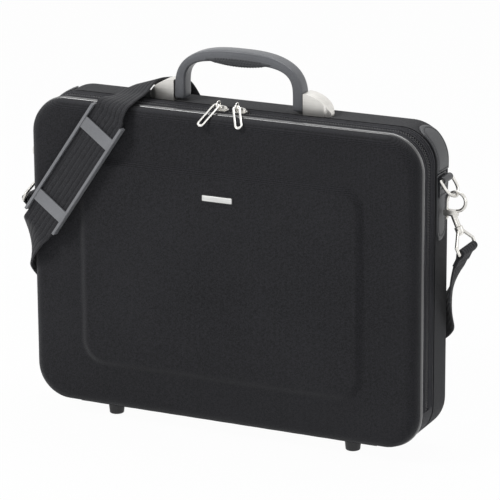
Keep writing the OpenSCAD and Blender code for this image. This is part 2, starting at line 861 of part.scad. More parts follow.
module snap_hook(left) {
  color([0.74, 0.73, 0.70]) in_frame() to_side(left) {
    hook_frame() {
      rotate([90, 0, 0]) rotate([0, 0, -90]) rotate_extrude(angle = 270, $fn = 96)
        translate([hook_bow, 0]) circle(hook_r);
      difference() {
        translate([gate_x - 2.9, -block_width / 2, block_low])
          cube([1.5 - gate_x + 2.9, block_width, block_top - block_low]);
        translate([gate_x - 4, -gate_disc_width / 2 - 0.2, block_low - 1])
          cube([4 + gate_disc + 0.3, gate_disc_width + 0.4, block_top - block_low + 2]);
      }
      translate([gate_x, 0, gate_z]) rotate([90, 0, 0])
        cylinder(block_width - 1, gate_pin, gate_pin, center = true);
    }
    swivel_frame() {
      post(-shank_length, 1.5, shank_r);
      post(-shank_length - boss_length - 2 * seat - weld, -shank_length + weld, spigot_r);
      post(-shank_length - boss_length - 2 * seat - head_length,
        -shank_length - boss_length - 2 * seat, head_r);
    }
  }
}

// Spring gate of the hook with its thumb knob
module hook_gate(left) {
  color([0.70, 0.69, 0.66]) in_frame() to_side(left) hook_frame() difference() {
    union() {
      translate([gate_x, 0, gate_z]) rotate([90, 0, 0])
        cylinder(gate_disc_width, gate_disc, gate_disc, center = true);
      translate([gate_x, 0, 0]) post(gate_z, -seat, gate_disc_width / 2);
      translate([gate_x - 0.9, -1.2, gate_z - 6.5]) cube([1.8, 2.4, 6.5]);
      translate([gate_x, 1.2, gate_z - 5.6]) rotate([90, 0, 0]) cylinder(4.4, 1.4, 1.4);
    }
    translate([gate_x, 0, gate_z]) rotate([90, 0, 0])
      cylinder(gate_disc_width + 1, gate_pin + pin_fit, gate_pin + pin_fit, center = true);
  }
}

// Swivelling eye for the webbing
module strap_eye(left) {
  boss_low = -shank_length - seat - boss_length;
  leg_top = boss_low + boss_length / 2;
  leg_y = eye_half - boss_r + 1;
  leg_z = eye_drop - eye_straight + leg_top;
  color([0.74, 0.73, 0.70]) in_frame() to_side(left) swivel_frame() difference() {
    union() {
      post(boss_low, boss_low + boss_length, boss_r);
      for (s = [-1, 1]) {
        translate([0, s * eye_half, -eye_drop]) {
          sphere(eye_r + 0.1);
          cylinder(eye_straight, eye_r, eye_r);
        }
        translate([0, s * eye_half, eye_straight - eye_drop]) {
          sphere(eye_r + 0.1);
          rotate([s * atan(leg_y / leg_z), 0, 0]) cylinder(norm([leg_y, leg_z]), eye_r, eye_r);
        }
      }
      translate([0, 0, -eye_drop]) rotate([90, 0, 0])
        cylinder(2 * eye_half, eye_r, eye_r, center = true);
    }
    post(boss_low - 1, boss_low + boss_length + 1, spigot_r + pin_fit);
  }
}

// Sewn end of the webbing round the eye's bar
module strap_end_loop(left) {
  color([0.11, 0.11, 0.12]) in_frame() to_side(left) swivel_frame()
    translate([0, 0, -eye_drop]) rotate([0, end_bend, 0]) difference() {
      union() {
        rotate([90, 0, 0]) cylinder(webbing_width, end_loop_r, end_loop_r, center = true);
        translate([-webbing_thickness, -webbing_width / 2, -end_tab])
          cube([2 * webbing_thickness, webbing_width, end_tab]);
      }
      rotate([90, 0, 0]) cylinder(webbing_width + 1, eye_r + end_loop_gap,
        eye_r + end_loop_gap, center = true);
    }
}

// Smooth value between the second and third of four
function blend(a, b, c, d, t) =
  0.5 * (2 * b + (c - a) * t + (2 * a - 5 * b + 4 * c - d) * t * t
    + (3 * b - a - 3 * c + d) * t * t * t);

function nearest(i, n) = max(0, min(n - 1, i));

// Middle point (k = 0) or width direction (k = 1) at the place s of a path
function at_place(path, k, s) =
  let (n = len(path), i = min(floor(s), n - 2))
    blend(path[nearest(i - 1, n)][k], path[i][k], path[i + 1][k],
      path[nearest(i + 2, n)][k], s - i);

function unit(v) = v / norm(v);

// Four corners of the webbing's section at the place s
function web_section(path, s, width, thickness) =
  let (
    last = len(path) - 1,
    middle = at_place(path, 0, s),
    run_way = at_place(path, 0, min(s + 0.05, last)) - at_place(path, 0, max(s - 0.05, 0)),
    over = unit(at_place(path, 1, s)),
    out = unit(cross(unit(run_way), over)),
    side = over * width / 2,
    half = out * thickness / 2
  )
    [middle + side + half, middle + side - half, middle - side - half, middle - side + half];

// Flat webbing swept along a path
module webbing(path, steps) {
  rings = (len(path) - 1) * steps;
  points = [
    for (i = [0:rings], corner = web_section(path, i / steps, webbing_width,
      webbing_thickness)) corner
  ];
  sides = [
    for (i = [0:rings - 1], j = [0:3], half = [0, 1])
      let (a = 4 * i + j, b = 4 * i + (j + 1) % 4)
        half == 0 ? [a, b, b + 4] : [a, b + 4, a + 4]
  ];
  e = 4 * rings;
  polyhedron(points, concat(sides, [[2, 1, 0], [3, 2, 0], [e, e + 1, e + 2],
    [e, e + 2, e + 3]]));
}

module strap_webbing() {
  color([0.11, 0.11, 0.12]) in_frame()
    webbing(concat(back_path, top_path, pad_path, side_path), 3);
}

module strap_tail(left) {
  color([0.11, 0.11, 0.12]) in_frame()
    webbing(left ? left_tail_path : right_tail_path, 5);
}

// Length adjuster behind the case: a flat frame with a middle bar
module strap_adjuster() {
  color([0.10, 0.10, 0.10]) in_frame()
    translate([adjuster_x, back_plane, foot_height + adjuster_level]) rotate([0, 43, 0])
      for (y = [-webbing_thickness / 2 - seat - adjuster_wall, webbing_thickness / 2 + seat])
        translate([-webbing_width / 2 - adjuster_rim, y, -adjuster_height / 2])
          cube([webbing_width + 2 * adjuster_rim, adjuster_wall, adjuster_height]);
}

module shoulder_pad() {
  bar_z = pad_length / 2 - pad_inset - pad_bar / 2;
  color([0.46, 0.47, 0.49]) in_frame() translate([pad_x, web_plane, pad_z])
    rotate([0, pad_tilt, 0]) rotate([0, 0, -pad_roll]) translate([0, -web_plane, 0])
      for (s = [-1, 1]) {
        translate([s * (pad_width - pad_wall) / 2 - pad_wall / 2, pad_front, -pad_length / 2])
          cube([pad_wall, pad_back - pad_front, pad_length]);
        for (y = [pad_front + 0.5 * pad_bar_wall, pad_back - pad_bar_wall])
          translate([-pad_width / 2, y, s * bar_z - pad_bar / 2])
            cube([pad_width, pad_bar_wall, pad_bar]);
      }
}

rear_shell();
rear_lining();
rear_zip_tape();
rear_zip_coil();
bottom_gusset();
hinge_tape();
corner_patch(true);  // corner_patch_left
corner_patch(false);  // corner_patch_right
side_patch(true);  // side_patch_left
side_patch(false);  // side_patch_right
side_loop(true);  // side_loop_left
side_loop(false);  // side_loop_right
handle_cap(true);  // handle_cap_left
handle_cap(false);  // handle_cap_right
handle_pins();
handle_plate();
handle_screws();
feet();
feet_screws();
zip_stops();
cradle_pads();
retaining_belt();
strap_webbing();
strap_tail(true);  // strap_tail_left
strap_tail(false);  // strap_tail_right
strap_adjuster();
front_shell();
front_lining();
front_piping();
front_zip_tape();
front_zip_coil();
badge();
lid_pocket();
handle_grip();
handle_insert();
zip_slider(true);  // zip_slider_left
zip_slider(false);  // zip_slider_right
slider_link(true);  // slider_link_left
slider_link(false);  // slider_link_right
zip_pull(true, lean_left);  // zip_pull_left
zip_pull(false, lean_right);  // zip_pull_right
d_ring(true);  // d_ring_left
d_ring(false);  // d_ring_right
snap_hook(true);  // snap_hook_left
snap_hook(false);  // snap_hook_right
hook_gate(true);  // hook_gate_left
hook_gate(false);  // hook_gate_right
strap_eye(true);  // strap_eye_left
strap_eye(false);  // strap_eye_right
strap_end_loop(true);  // strap_end_loop_left
strap_end_loop(false);  // strap_end_loop_right
shoulder_pad();
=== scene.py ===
# Laptop hard case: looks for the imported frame. Lengths are in millimetres, with
# depths (c) counted back from the piping's front face, as in the CAD.
import bpy
import bmesh
import json
import math
import numpy as np
from mathutils import Matrix, Vector

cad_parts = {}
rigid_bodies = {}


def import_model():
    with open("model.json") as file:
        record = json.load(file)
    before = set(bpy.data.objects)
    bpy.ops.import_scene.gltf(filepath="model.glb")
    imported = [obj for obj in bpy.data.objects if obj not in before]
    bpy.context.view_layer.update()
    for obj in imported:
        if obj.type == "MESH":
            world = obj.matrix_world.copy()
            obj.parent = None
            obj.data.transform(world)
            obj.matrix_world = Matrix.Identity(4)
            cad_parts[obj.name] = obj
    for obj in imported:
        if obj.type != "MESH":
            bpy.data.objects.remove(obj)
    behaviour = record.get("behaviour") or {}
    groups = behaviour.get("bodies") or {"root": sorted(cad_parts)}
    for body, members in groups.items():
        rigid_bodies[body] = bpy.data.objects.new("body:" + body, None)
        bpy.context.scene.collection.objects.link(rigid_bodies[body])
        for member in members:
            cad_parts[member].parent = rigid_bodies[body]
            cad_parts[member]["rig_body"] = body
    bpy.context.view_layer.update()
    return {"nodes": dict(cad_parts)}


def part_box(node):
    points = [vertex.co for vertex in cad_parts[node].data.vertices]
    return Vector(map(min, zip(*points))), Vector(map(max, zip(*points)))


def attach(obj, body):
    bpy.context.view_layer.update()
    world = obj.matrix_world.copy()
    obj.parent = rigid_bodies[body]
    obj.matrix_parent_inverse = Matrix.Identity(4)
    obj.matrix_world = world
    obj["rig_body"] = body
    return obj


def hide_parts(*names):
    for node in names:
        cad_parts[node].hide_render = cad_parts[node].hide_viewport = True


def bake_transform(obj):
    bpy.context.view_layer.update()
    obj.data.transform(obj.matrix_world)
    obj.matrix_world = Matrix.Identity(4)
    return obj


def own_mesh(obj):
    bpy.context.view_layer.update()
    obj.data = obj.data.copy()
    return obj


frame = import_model()
nodes = frame["nodes"]
DEPTH = 28.35  # the piping's front face stands this far in front of the frame's y = 0


def metres(points):
    """Points in millimetres, as in the CAD, in the frame's metres."""
    co = np.array(points, float).reshape(-1, 3)
    co[:, 1] -= DEPTH
    return co / 1000


# ---------------------------------------------------------------- materials
def tree(name):
    m = bpy.data.materials.new(name)
    m.use_nodes = True
    t = m.node_tree
    shader = t.nodes["Principled BSDF"]
    return m, t, shader


class Net:
    """Short hand for building one node tree."""

    def __init__(self, t):
        self.t = t
        self.co = t.nodes.new("ShaderNodeTexCoord").outputs["Object"]

    def node(self, kind, **inputs):
        n = self.t.nodes.new(kind)
        for key, value in inputs.items():
            self.put(n.inputs[key.replace("_", " ")], value)
        return n

    def put(self, socket, value):
        if isinstance(value, bpy.types.NodeSocket):
            self.t.links.new(value, socket)
        else:
            socket.default_value = value

    def math(self, op, a, b=0.0, c=0.0):
        n = self.t.nodes.new("ShaderNodeMath")
        n.operation = op
        for i, value in enumerate((a, b, c)):
            self.put(n.inputs[i], value)
        return n.outputs[0]

    def noise(self, scale, detail=2.0, rough=0.5, co=None):
        n = self.node("ShaderNodeTexNoise", Vector=co or self.co, Scale=scale,
                      Detail=detail, Roughness=rough)
        return n.outputs["Fac"]

    def cells(self, scale):
        n = self.node("ShaderNodeTexVoronoi", Vector=self.co, Scale=scale)
        return n.outputs["Distance"]

    def split(self, co=None):
        n = self.node("ShaderNodeSeparateXYZ", Vector=co or self.co)
        return n.outputs

    def wave(self, value, pitch):
        """Sine of a coordinate in metres with the given pitch."""
        return self.math("SINE", self.math("MULTIPLY", value, 2 * math.pi / pitch))

    def ramp(self, fac, stops):
        n = self.node("ShaderNodeValToRGB", Fac=fac)
        e = n.color_ramp.elements
        while len(e) < len(stops):
            e.new(0.5)
        for item, (place, colour) in zip(e, stops):
            item.position = place
            item.color = (*colour, 1)
        return n.outputs["Color"]

    def span(self, fac, low, high):
        n = self.node("ShaderNodeMapRange", Value=fac)
        n.inputs["To Min"].default_value = low
        n.inputs["To Max"].default_value = high
        return n.outputs["Result"]

    def bump(self, height, strength, distance):
        n = self.node("ShaderNodeBump", Height=height)
        n.inputs["Strength"].default_value = strength
        n.inputs["Distance"].default_value = distance
        return n.outputs["Normal"]

    def uv(self):
        return self.t.nodes.new("ShaderNodeUVMap").outputs["UV"]

    def finish(self, shader, colour, normal, rough):
        """Colour, relief and roughness onto the shader."""
        self.put(shader.inputs["Base Color"], colour)
        self.put(shader.inputs["Normal"], normal)
        self.put(shader.inputs["Roughness"], rough)


def weave(net, pitch):
    """Crossing threads on slanted coordinates, so that they show on every face."""
    slant = 0.6
    x, y, z = net.split()
    warp = net.wave(net.math("MULTIPLY_ADD", y, slant, x), pitch)
    weft = net.wave(net.math("MULTIPLY_ADD", y, -slant, z), pitch)
    return net.math("MULTIPLY_ADD", net.math("ADD", warp, weft), 0.25, 0.5)


def cloth(name, dark, light, pitch, mottle, depth=0.0002, rough=0.88, sheen=0.18):
    """Woven cloth: threads of a pitch in metres, mottled finely and broadly."""
    m, t, s = tree(name)
    n = Net(t)
    threads = weave(n, pitch)
    speckle = n.noise(mottle, 3, 0.65)
    patches = n.noise(9.0, 3)
    mix = n.math("MULTIPLY_ADD", speckle, 0.62, n.math("MULTIPLY", threads, 0.25))
    mix = n.math("MULTIPLY_ADD", patches, 0.13, mix)
    height = n.math("ADD", threads, n.math("MULTIPLY", speckle, 1.2))
    n.finish(s, n.ramp(mix, [(0.4, dark), (0.6, light)]), n.bump(height, 0.8, depth),
             n.span(speckle, rough - 0.1, rough + 0.08))
    s.inputs["Sheen Weight"].default_value = sheen
    s.inputs["Sheen Roughness"].default_value = 0.45
    s.inputs["Specular IOR Level"].default_value = 0.12
    return m


def band(name, dark, light, pitch):
    """Narrow woven goods laid out by their own map: U across, V along, in metres."""
    m, t, s = tree(name)
    n = Net(t)
    u, v, _ = n.split(n.uv())
    threads = n.math("MULTIPLY", n.wave(n.math("ADD", u, v), pitch),
                     n.wave(n.math("SUBTRACT", u, v), pitch))
    fuzz = n.noise(900.0, 2)
    mix = n.math("MULTIPLY_ADD", threads, 0.3, fuzz)
    n.finish(s, n.ramp(mix, [(0.2, dark), (0.85, light)]), n.bump(mix, 0.7, 0.00025),
             n.span(fuzz, 0.62, 0.8))
    s.inputs["Sheen Weight"].default_value = 0.1
    s.inputs["Specular IOR Level"].default_value = 0.15
    return m


def skin(name, dark, light, rough, grain, depth=0.00012, coat=0.0, gloss=0.2):
    """Leather-like or moulded surface with a fine grain and uneven gloss."""
    m, t, s = tree(name)
    n = Net(t)
    cell = n.cells(grain)
    soft = n.noise(38.0, 4, 0.6)
    tint = n.math("MULTIPLY_ADD", cell, 0.35, n.math("MULTIPLY", soft, 0.65))
    n.finish(s, n.ramp(tint, [(0.25, dark), (0.75, light)]), n.bump(cell, 0.5, depth),
             n.span(soft, rough - 0.07, rough + 0.09))
    s.inputs["Coat Weight"].default_value = coat
    s.inputs["Coat Roughness"].default_value = gloss
    return m


def metal(name, dark, light, rough, stretch=(1, 1, 1)):
    """Worn metal with fine lines, drawn out along an axis of small stretch."""
    m, t, s = tree(name)
    n = Net(t)
    place = n.node("ShaderNodeMapping", Vector=n.co)
    place.inputs["Scale"].default_value = stretch
    lines = n.noise(420.0, 3, 0.6, place.outputs["Vector"])
    wear = n.noise(55.0, 5, 0.62)
    tint = n.math("MULTIPLY_ADD", lines, 0.5, n.math("MULTIPLY", wear, 0.5))
    n.finish(s, n.ramp(tint, [(0.3, dark), (0.7, light)]), n.bump(lines, 0.35, 0.00002),
             n.span(wear, rough - 0.08, rough + 0.12))
    s.inputs["Metallic"].default_value = 1.0
    return m


FABRIC = cloth("shell cloth", (0.010, 0.010, 0.011), (0.033, 0.033, 0.037), 0.0013, 900.0,
               depth=0.0003)
LINING = cloth("lining cloth", (0.055, 0.056, 0.062), (0.115, 0.117, 0.127), 0.0014, 500.0)
FOAM = cloth("foam cover", (0.05, 0.05, 0.055), (0.09, 0.09, 0.098), 0.0012, 700.0)
POCKET = cloth("pocket cloth", (0.03, 0.03, 0.034), (0.07, 0.07, 0.078), 0.0011, 700.0)
WEBBING = band("webbing", (0.008, 0.008, 0.009), (0.05, 0.05, 0.055), 0.0016)
TAPE = cloth("tape weave", (0.016, 0.016, 0.018), (0.052, 0.052, 0.058), 0.0009, 900.0,
             rough=0.7, sheen=0.08)
THREAD = skin("thread", (0.02, 0.02, 0.022), (0.05, 0.05, 0.055), 0.6, 2600.0)
PIPING = skin("piping vinyl", (0.012, 0.012, 0.013), (0.024, 0.024, 0.026), 0.3, 420.0,
              0.00001, coat=1.0, gloss=0.24)
PIPING.node_tree.nodes["Principled BSDF"].inputs["Specular IOR Level"].default_value = 1.0
PATCH = skin("patch leather", (0.020, 0.021, 0.024), (0.044, 0.046, 0.051), 0.42, 950.0,
             0.00012, coat=0.08)
TEETH = skin("coil plastic", (0.02, 0.02, 0.022), (0.06, 0.06, 0.065), 0.38, 1500.0)
GREY = skin("grey plastic", (0.17, 0.173, 0.182), (0.23, 0.233, 0.245), 0.42, 1400.0,
            0.00006)
GRIP = skin("handle plastic", (0.10, 0.103, 0.112), (0.145, 0.149, 0.160), 0.36, 1400.0,
            0.00006)
STUDS = skin("insert rubber", (0.025, 0.026, 0.029), (0.05, 0.052, 0.057), 0.55, 1300.0)
BLACK = skin("black plastic", (0.018, 0.018, 0.019), (0.035, 0.035, 0.037), 0.45, 1200.0)
RUBBER = skin("foot rubber", (0.014, 0.014, 0.015), (0.03, 0.03, 0.032), 0.6, 1000.0)
NICKEL = metal("satin nickel", (0.60, 0.585, 0.55), (0.80, 0.785, 0.75), 0.30)
CAPS = metal("brushed nickel", (0.62, 0.605, 0.575), (0.80, 0.785, 0.75), 0.36, (0.06, 1, 1))
SHINE = metal("polished nickel", (0.66, 0.65, 0.62), (0.88, 0.87, 0.84), 0.2)
STEEL = metal("plain steel", (0.42, 0.42, 0.42), (0.60, 0.60, 0.60), 0.38)
PLATE = metal("badge metal", (0.60, 0.60, 0.59), (0.80, 0.80, 0.785), 0.34, (0.04, 1, 1))


# ------------------------------------------------------------------- helpers
def grid(rows, columns, wrap_rows=False, wrap_columns=False):
    """Quads of a sheet of points, rows by columns."""
    r = np.arange(rows if wrap_rows else rows - 1)
    c = np.arange(columns if wrap_columns else columns - 1)
    a, b = np.meshgrid(r, c, indexing="ij")
    a1, b1 = (a + 1) % rows, (b + 1) % columns
    quads = np.stack([a * columns + b, a * columns + b1, a1 * columns + b1, a1 * columns + b],
                     -1)
    return quads.reshape(-1, 4).tolist()


def put_in(name, data):
    """A new object of the data, in the scene."""
    o = bpy.data.objects.new(name, data)
    bpy.context.scene.collection.objects.link(o)
    return o


def shade(mesh, material, sharp):
    """Smooth shading up to a sharp angle in degrees, and one material."""
    mesh.shade_smooth()
    if sharp:
        mesh.set_sharp_from_angle(angle=math.radians(sharp))
    mesh.materials.clear()
    mesh.materials.append(material)


def piece(name, points, faces, material, body=None, slot=None, gone=(), sharp=None):
    """A mesh object from points in millimetres, riding on its body."""
    mesh = bpy.data.meshes.new(name)
    mesh.from_pydata(metres(points).tolist(), [], faces)
    b = bmesh.new()
    b.from_mesh(mesh)
    bmesh.ops.recalc_face_normals(b, faces=b.faces)
    b.to_mesh(mesh)
    b.free()
    shade(mesh, material, sharp)
    o = put_in(name, mesh)
    if gone:
        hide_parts(*gone)
    if body:
        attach(o, body)
    return o


def soften(node, material, width, steps, angle, name=None):
    """A copy of a CAD node with the edges over an angle rounded, shown in its place."""
    source = nodes[node]
    b = bmesh.new()
    b.from_mesh(source.data)
    bmesh.ops.remove_doubles(b, verts=b.verts, dist=0.00002)
    bmesh.ops.dissolve_limit(b, angle_limit=math.radians(1.5), verts=b.verts, edges=b.edges)
    edges = [e for e in b.edges if len(e.link_faces) == 2
             and e.calc_face_angle(0) > math.radians(angle)]
    bmesh.ops.bevel(b, geom=edges, offset=width / 1000, offset_type="OFFSET",
                    segments=steps, profile=0.5, affect="EDGES", clamp_overlap=True)
    mesh = bpy.data.meshes.new(name or node + "_finish")
    b.to_mesh(mesh)
    b.free()
    shade(mesh, material, 40)
    o = put_in(mesh.name, mesh)
    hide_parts(node)
    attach(o, source["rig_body"])
    return o


def paint(material, *names):
    """A better material on CAD nodes that keep their own mesh."""
    for name in names:
        data = nodes[name].data
        data.materials.clear()
        data.materials.append(material)


def two_sided(rows, columns):
    """Quads of a sheet's upper side, then its under side, and round its edges."""
    half = rows * columns
    faces = grid(rows, columns)
    faces += [[i + half for i in f][::-1] for f in faces]
    edges = ((0, 1, columns), (half - columns, 1, columns), (0, columns, rows),
             (columns - 1, columns, rows))
    for first, step, count in edges:
        for a in range(first, first + step * (count - 1), step):
            faces.append([a, a + step, a + step + half, a + half])
    return faces


def tube_faces(rings, ring):
    """Quads and end caps of a closed section swept over rings."""
    faces = grid(rings, ring, wrap_columns=True)
    faces.append(list(range(ring))[::-1])
    faces.append([(rings - 1) * ring + i for i in range(ring)])
    return faces


def unit(v):
    v = np.asarray(v, float)
    return v / np.maximum(np.linalg.norm(v, axis=-1, keepdims=True), 1e-9)


def squared(value, power):
    """A sine or cosine bent towards -1 and 1, by a power below 1."""
    return math.copysign(abs(value) ** power, value)


def lengths(line):
    """Distance along a line at each of its points."""
    return np.concatenate([[0], np.cumsum(np.linalg.norm(np.diff(line, axis=0), axis=1))])


def sample(at, total, values):
    """Places or directions of a line's points, taken at distances along it."""
    return np.stack([np.interp(at, total, values[:, k]) for k in range(3)], 1)


def spread(line, pitch):
    """Points at even steps along a line, the directions there and the distances."""
    reach, total = 0.4, lengths(line)
    count = max(int(total[-1] / pitch), 1)
    at = (np.arange(count) + 0.5) * total[-1] / count
    ahead = sample(np.minimum(at + reach, total[-1]), total, line)
    behind = sample(np.maximum(at - reach, 0), total, line)
    return sample(at, total, line), unit(ahead - behind), at


def beads(places, along, up, length, width, height, sides=6):
    """Long rounded grains, such as stitches or coil teeth: points and faces."""
    places, along, up = (np.asarray(a, float) for a in (places, along, up))
    up = unit(up - along * (up * along).sum(1, keepdims=True))
    side = np.cross(along, up)
    shape, rows = [], ((-1, 0.45), (-0.72, 0.9), (0, 1), (0.72, 0.9), (1, 0.45))
    for t, r in rows:
        for k in range(sides):
            a = 2 * math.pi * k / sides
            shape.append((t * length / 2, r * math.cos(a) * width / 2,
                          r * math.sin(a) * height / 2))
    shape = np.array(shape)
    points = (places[:, None] + shape[None, :, 0:1] * along[:, None]
              + shape[None, :, 1:2] * side[:, None] + shape[None, :, 2:3] * up[:, None])
    one = np.array(grid(len(rows), sides, wrap_columns=True))
    count = len(shape)
    faces = (one[None] + count * np.arange(len(places))[:, None, None]).reshape(-1, 4).tolist()
    for i in range(len(places)):
        faces.append([i * count + k for k in range(sides)][::-1])
        faces.append([i * count + count - sides + k for k in range(sides)])
    return points.reshape(-1, 3), faces


def join(parts):
    """Several point-and-face sets as one."""
    points, faces, base = [], [], 0
    for p, f in parts:
        p = np.asarray(p, float).reshape(-1, 3)
        points.append(p)
        faces += [[i + base for i in face] for face in f]
        base += len(p)
    return np.concatenate(points), faces


def stitches(name, lines, body, pitch, length, width):
    """Rows of thread. Each line is its points and the outward direction there."""
    parts = []
    for line, up in lines:
        line = np.asarray(line, float)
        up = np.broadcast_to(np.asarray(up, float), (len(line), 3))
        places, along, at = spread(line, pitch)
        out = sample(at, lengths(line), up)
        parts.append(beads(places, along, unit(out), length, width, width * 0.8))
    points, faces = join(parts)
    piece(name, points, faces, THREAD, body)


# ------------------------------------------------- the case's outline, in X-Z
HALF_X, HALF_Z, RADIUS, MID_Z = 173.0, 121.25, 37.0, 172.25
ARC_STEPS = 14


def fine(low, high, edge, small, large):
    """Numbers from low to high, close together within edge of both ends."""
    a = np.arange(low, low + edge, small)
    b = np.arange(high - edge, high, small) + small
    n = max(int((b[0] - a[-1]) / large), 1)
    return np.concatenate([a, np.linspace(a[-1], b[0], n + 1)[1:-1], b[:-1], [high]])


XS = fine(-HALF_X, HALF_X, 50, 1.3, 6.0)
ZS = fine(-HALF_Z, HALF_Z, 42, 1.3, 6.0)


def stations():
    """Base points and outward directions round the whole outline: up the right side,
    over the top, down the left side and back along the bottom."""
    base, out = [], []

    def straight(points, direction):
        base.extend(points)
        out.extend([direction] * len(points))

    def corner(x, z, start):
        for k in range(1, ARC_STEPS):
            a = start + math.pi / 2 * k / ARC_STEPS
            base.append((x, z))
            out.append((math.cos(a), math.sin(a)))
    straight([(HALF_X, z) for z in ZS], (1, 0))
    corner(HALF_X, HALF_Z, 0)
    straight([(x, HALF_Z) for x in XS[::-1]], (0, 1))
    corner(-HALF_X, HALF_Z, math.pi / 2)
    straight([(-HALF_X, z) for z in ZS[::-1]], (-1, 0))
    corner(-HALF_X, -HALF_Z, math.pi)
    straight([(x, -HALF_Z) for x in XS], (0, -1))
    corner(HALF_X, -HALF_Z, 1.5 * math.pi)
    base, out = np.array(base), np.array(out)
    base[:, 1] += MID_Z
    return base, out


RIM = stations()


def at_inset(line, inset, c):
    """Points of a line of stations at an inset from the piping and a depth."""
    base, out = line
    flat = base + out * (RADIUS - inset)
    return np.stack([flat[:, 0], np.broadcast_to(c, len(flat)), flat[:, 1]], 1)


def sweep(name, profile, material, body, line, closed=True, **more):
    """A closed profile of (inset, depth) carried along a line of stations."""
    points = np.stack([at_inset(line, a, c) for a, c in profile], 1)
    rings, ring = points.shape[:2]
    faces = grid(rings, ring, True, True) if closed else tube_faces(rings, ring)
    piece(name, points.reshape(-1, 3), faces, material, body, **more)


def tray_skin(name, inset, edge_c, face_c, rounding, wall, material, body, relief, gone):
    """Moulded tray between the depths of its edge and its face: a straight side, a
    rounded edge and a face with a relief, all with a wall on the inside."""
    way = 1 if face_c > edge_c else -1
    straight = abs(face_c - edge_c) - rounding
    rings = []
    if straight > 1:
        rings += [(inset, edge_c + way * straight * k / 4) for k in range(4)]
    for k in range(11):
        a = math.pi / 2 * k / 10
        rings.append((inset + rounding * (1 - math.cos(a)),
                      face_c - way * rounding * (1 - math.sin(a))))
    flat = inset + rounding
    rings += [(flat + (RADIUS - flat) * k / 8, face_c) for k in range(1, 9)]
    border = np.concatenate([at_inset(RIM, a, c) for a, c in rings])
    gx, gz = np.meshgrid(XS, ZS + MID_Z, indexing="ij")
    middle = np.stack([gx.ravel(), np.full(gx.size, face_c), gz.ravel()], 1)
    points, faces = join([(border, grid(len(rings), len(RIM[0]), False, True)),
                          (middle, grid(len(XS), len(ZS)))])
    near = np.abs(points[:, 1] - face_c) < 0.6
    points[near, 1] += relief(points[near, 0], points[near, 2])
    mesh = bpy.data.meshes.new(name)
    mesh.from_pydata(metres(points).tolist(), [], faces)
    b = bmesh.new()
    b.from_mesh(mesh)
    bmesh.ops.remove_doubles(b, verts=b.verts, dist=0.00001)
    bmesh.ops.dissolve_degenerate(b, edges=b.edges, dist=0.00001)
    bmesh.ops.recalc_face_normals(b, faces=b.faces)
    lead = max(b.faces, key=lambda f: f.calc_area())
    if lead.normal.y * way < 0:
        bmesh.ops.reverse_faces(b, faces=b.faces)
    b.to_mesh(mesh)
    b.free()
    o = put_in(name, mesh)
    solid = o.modifiers.new("wall", "SOLIDIFY")
    solid.thickness = wall / 1000
    solid.offset = -1
    dg = bpy.context.evaluated_depsgraph_get()
    walled = bpy.data.meshes.new_from_object(o.evaluated_get(dg))
    o.modifiers.clear()
    o.data = walled
    shade(walled, material, 50)
    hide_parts(*gone)
    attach(o, body)


def smooth_step(t):
    t = np.clip(t, 0, 1)
    return t * t * (3 - 2 * t)


def rounded_distance(x, z, half_x, half_z, radius):
    """Distance from a rounded rectangle's edge, negative inside."""
    dx, dz = np.abs(x) - half_x + radius, np.abs(z) - half_z + radius
    far = np.hypot(np.maximum(dx, 0), np.maximum(dz, 0))
    return far + np.minimum(np.maximum(dx, dz), 0) - radius


# ------------------------------------------------------------- camera, stage
CAMERA_PLACE, LOOK_AT = (1.3371, -2.8022, 1.1329), (0.0277, -0.02835, 0.1969)
LENS, ROLL_DEGREES = 236.2, -0.33


def aim(place, target, roll=0.0):
    way = (Vector(target) - Vector(place)).normalized()
    return (way.to_track_quat("-Z", "Y")
            @ Matrix.Rotation(math.radians(roll), 4, "Z").to_quaternion())


def set_camera():
    camera = put_in("camera", bpy.data.cameras.new("camera"))
    camera.data.sensor_width = 36
    camera.data.lens = LENS
    camera.data.clip_end = 50
    camera.location = CAMERA_PLACE
    camera.rotation_mode = "QUATERNION"
    camera.rotation_quaternion = aim(camera.location, LOOK_AT, ROLL_DEGREES)
    bpy.context.scene.camera = camera


def lamp(name, place, target, size, power):
    data = bpy.data.lights.new(name, "AREA")
    data.shape = "RECTANGLE"
    data.size, data.size_y = size
    data.energy = power
    o = put_in(name, data)
    o.location = place
    o.rotation_mode = "QUATERNION"
    o.rotation_quaternion = aim(place, target)


def seen_directly(net):
    """1 for rays of the camera and of reflections, 0 for the rest of the light."""
    path = net.node("ShaderNodeLightPath")
    return net.math("MAXIMUM", path.outputs["Is Camera Ray"], path.outputs["Is Glossy Ray"])


def mix_shaders(net, share, first, second):
    n = net.node("ShaderNodeMixShader", Fac=share)
    net.put(n.inputs[1], first.outputs[0])
    net.put(n.inputs[2], second.outputs[0])
    return n.outputs[0]


def set_world():
    """A dim room behind a white background."""
    world = bpy.data.worlds.new("studio")
    bpy.context.scene.world = world
    world.use_nodes = True
    world.node_tree.nodes.clear()
    n = Net(world.node_tree)
    room = n.node("ShaderNodeBackground", Color=(0.93, 0.96, 1.0, 1), Strength=0.3)
    bright = n.node("ShaderNodeBackground", Color=(1, 1, 1, 1), Strength=1.0)
    end = n.node("ShaderNodeOutputWorld")
    n.put(end.inputs["Surface"], mix_shaders(n, seen_directly(n), room, bright))


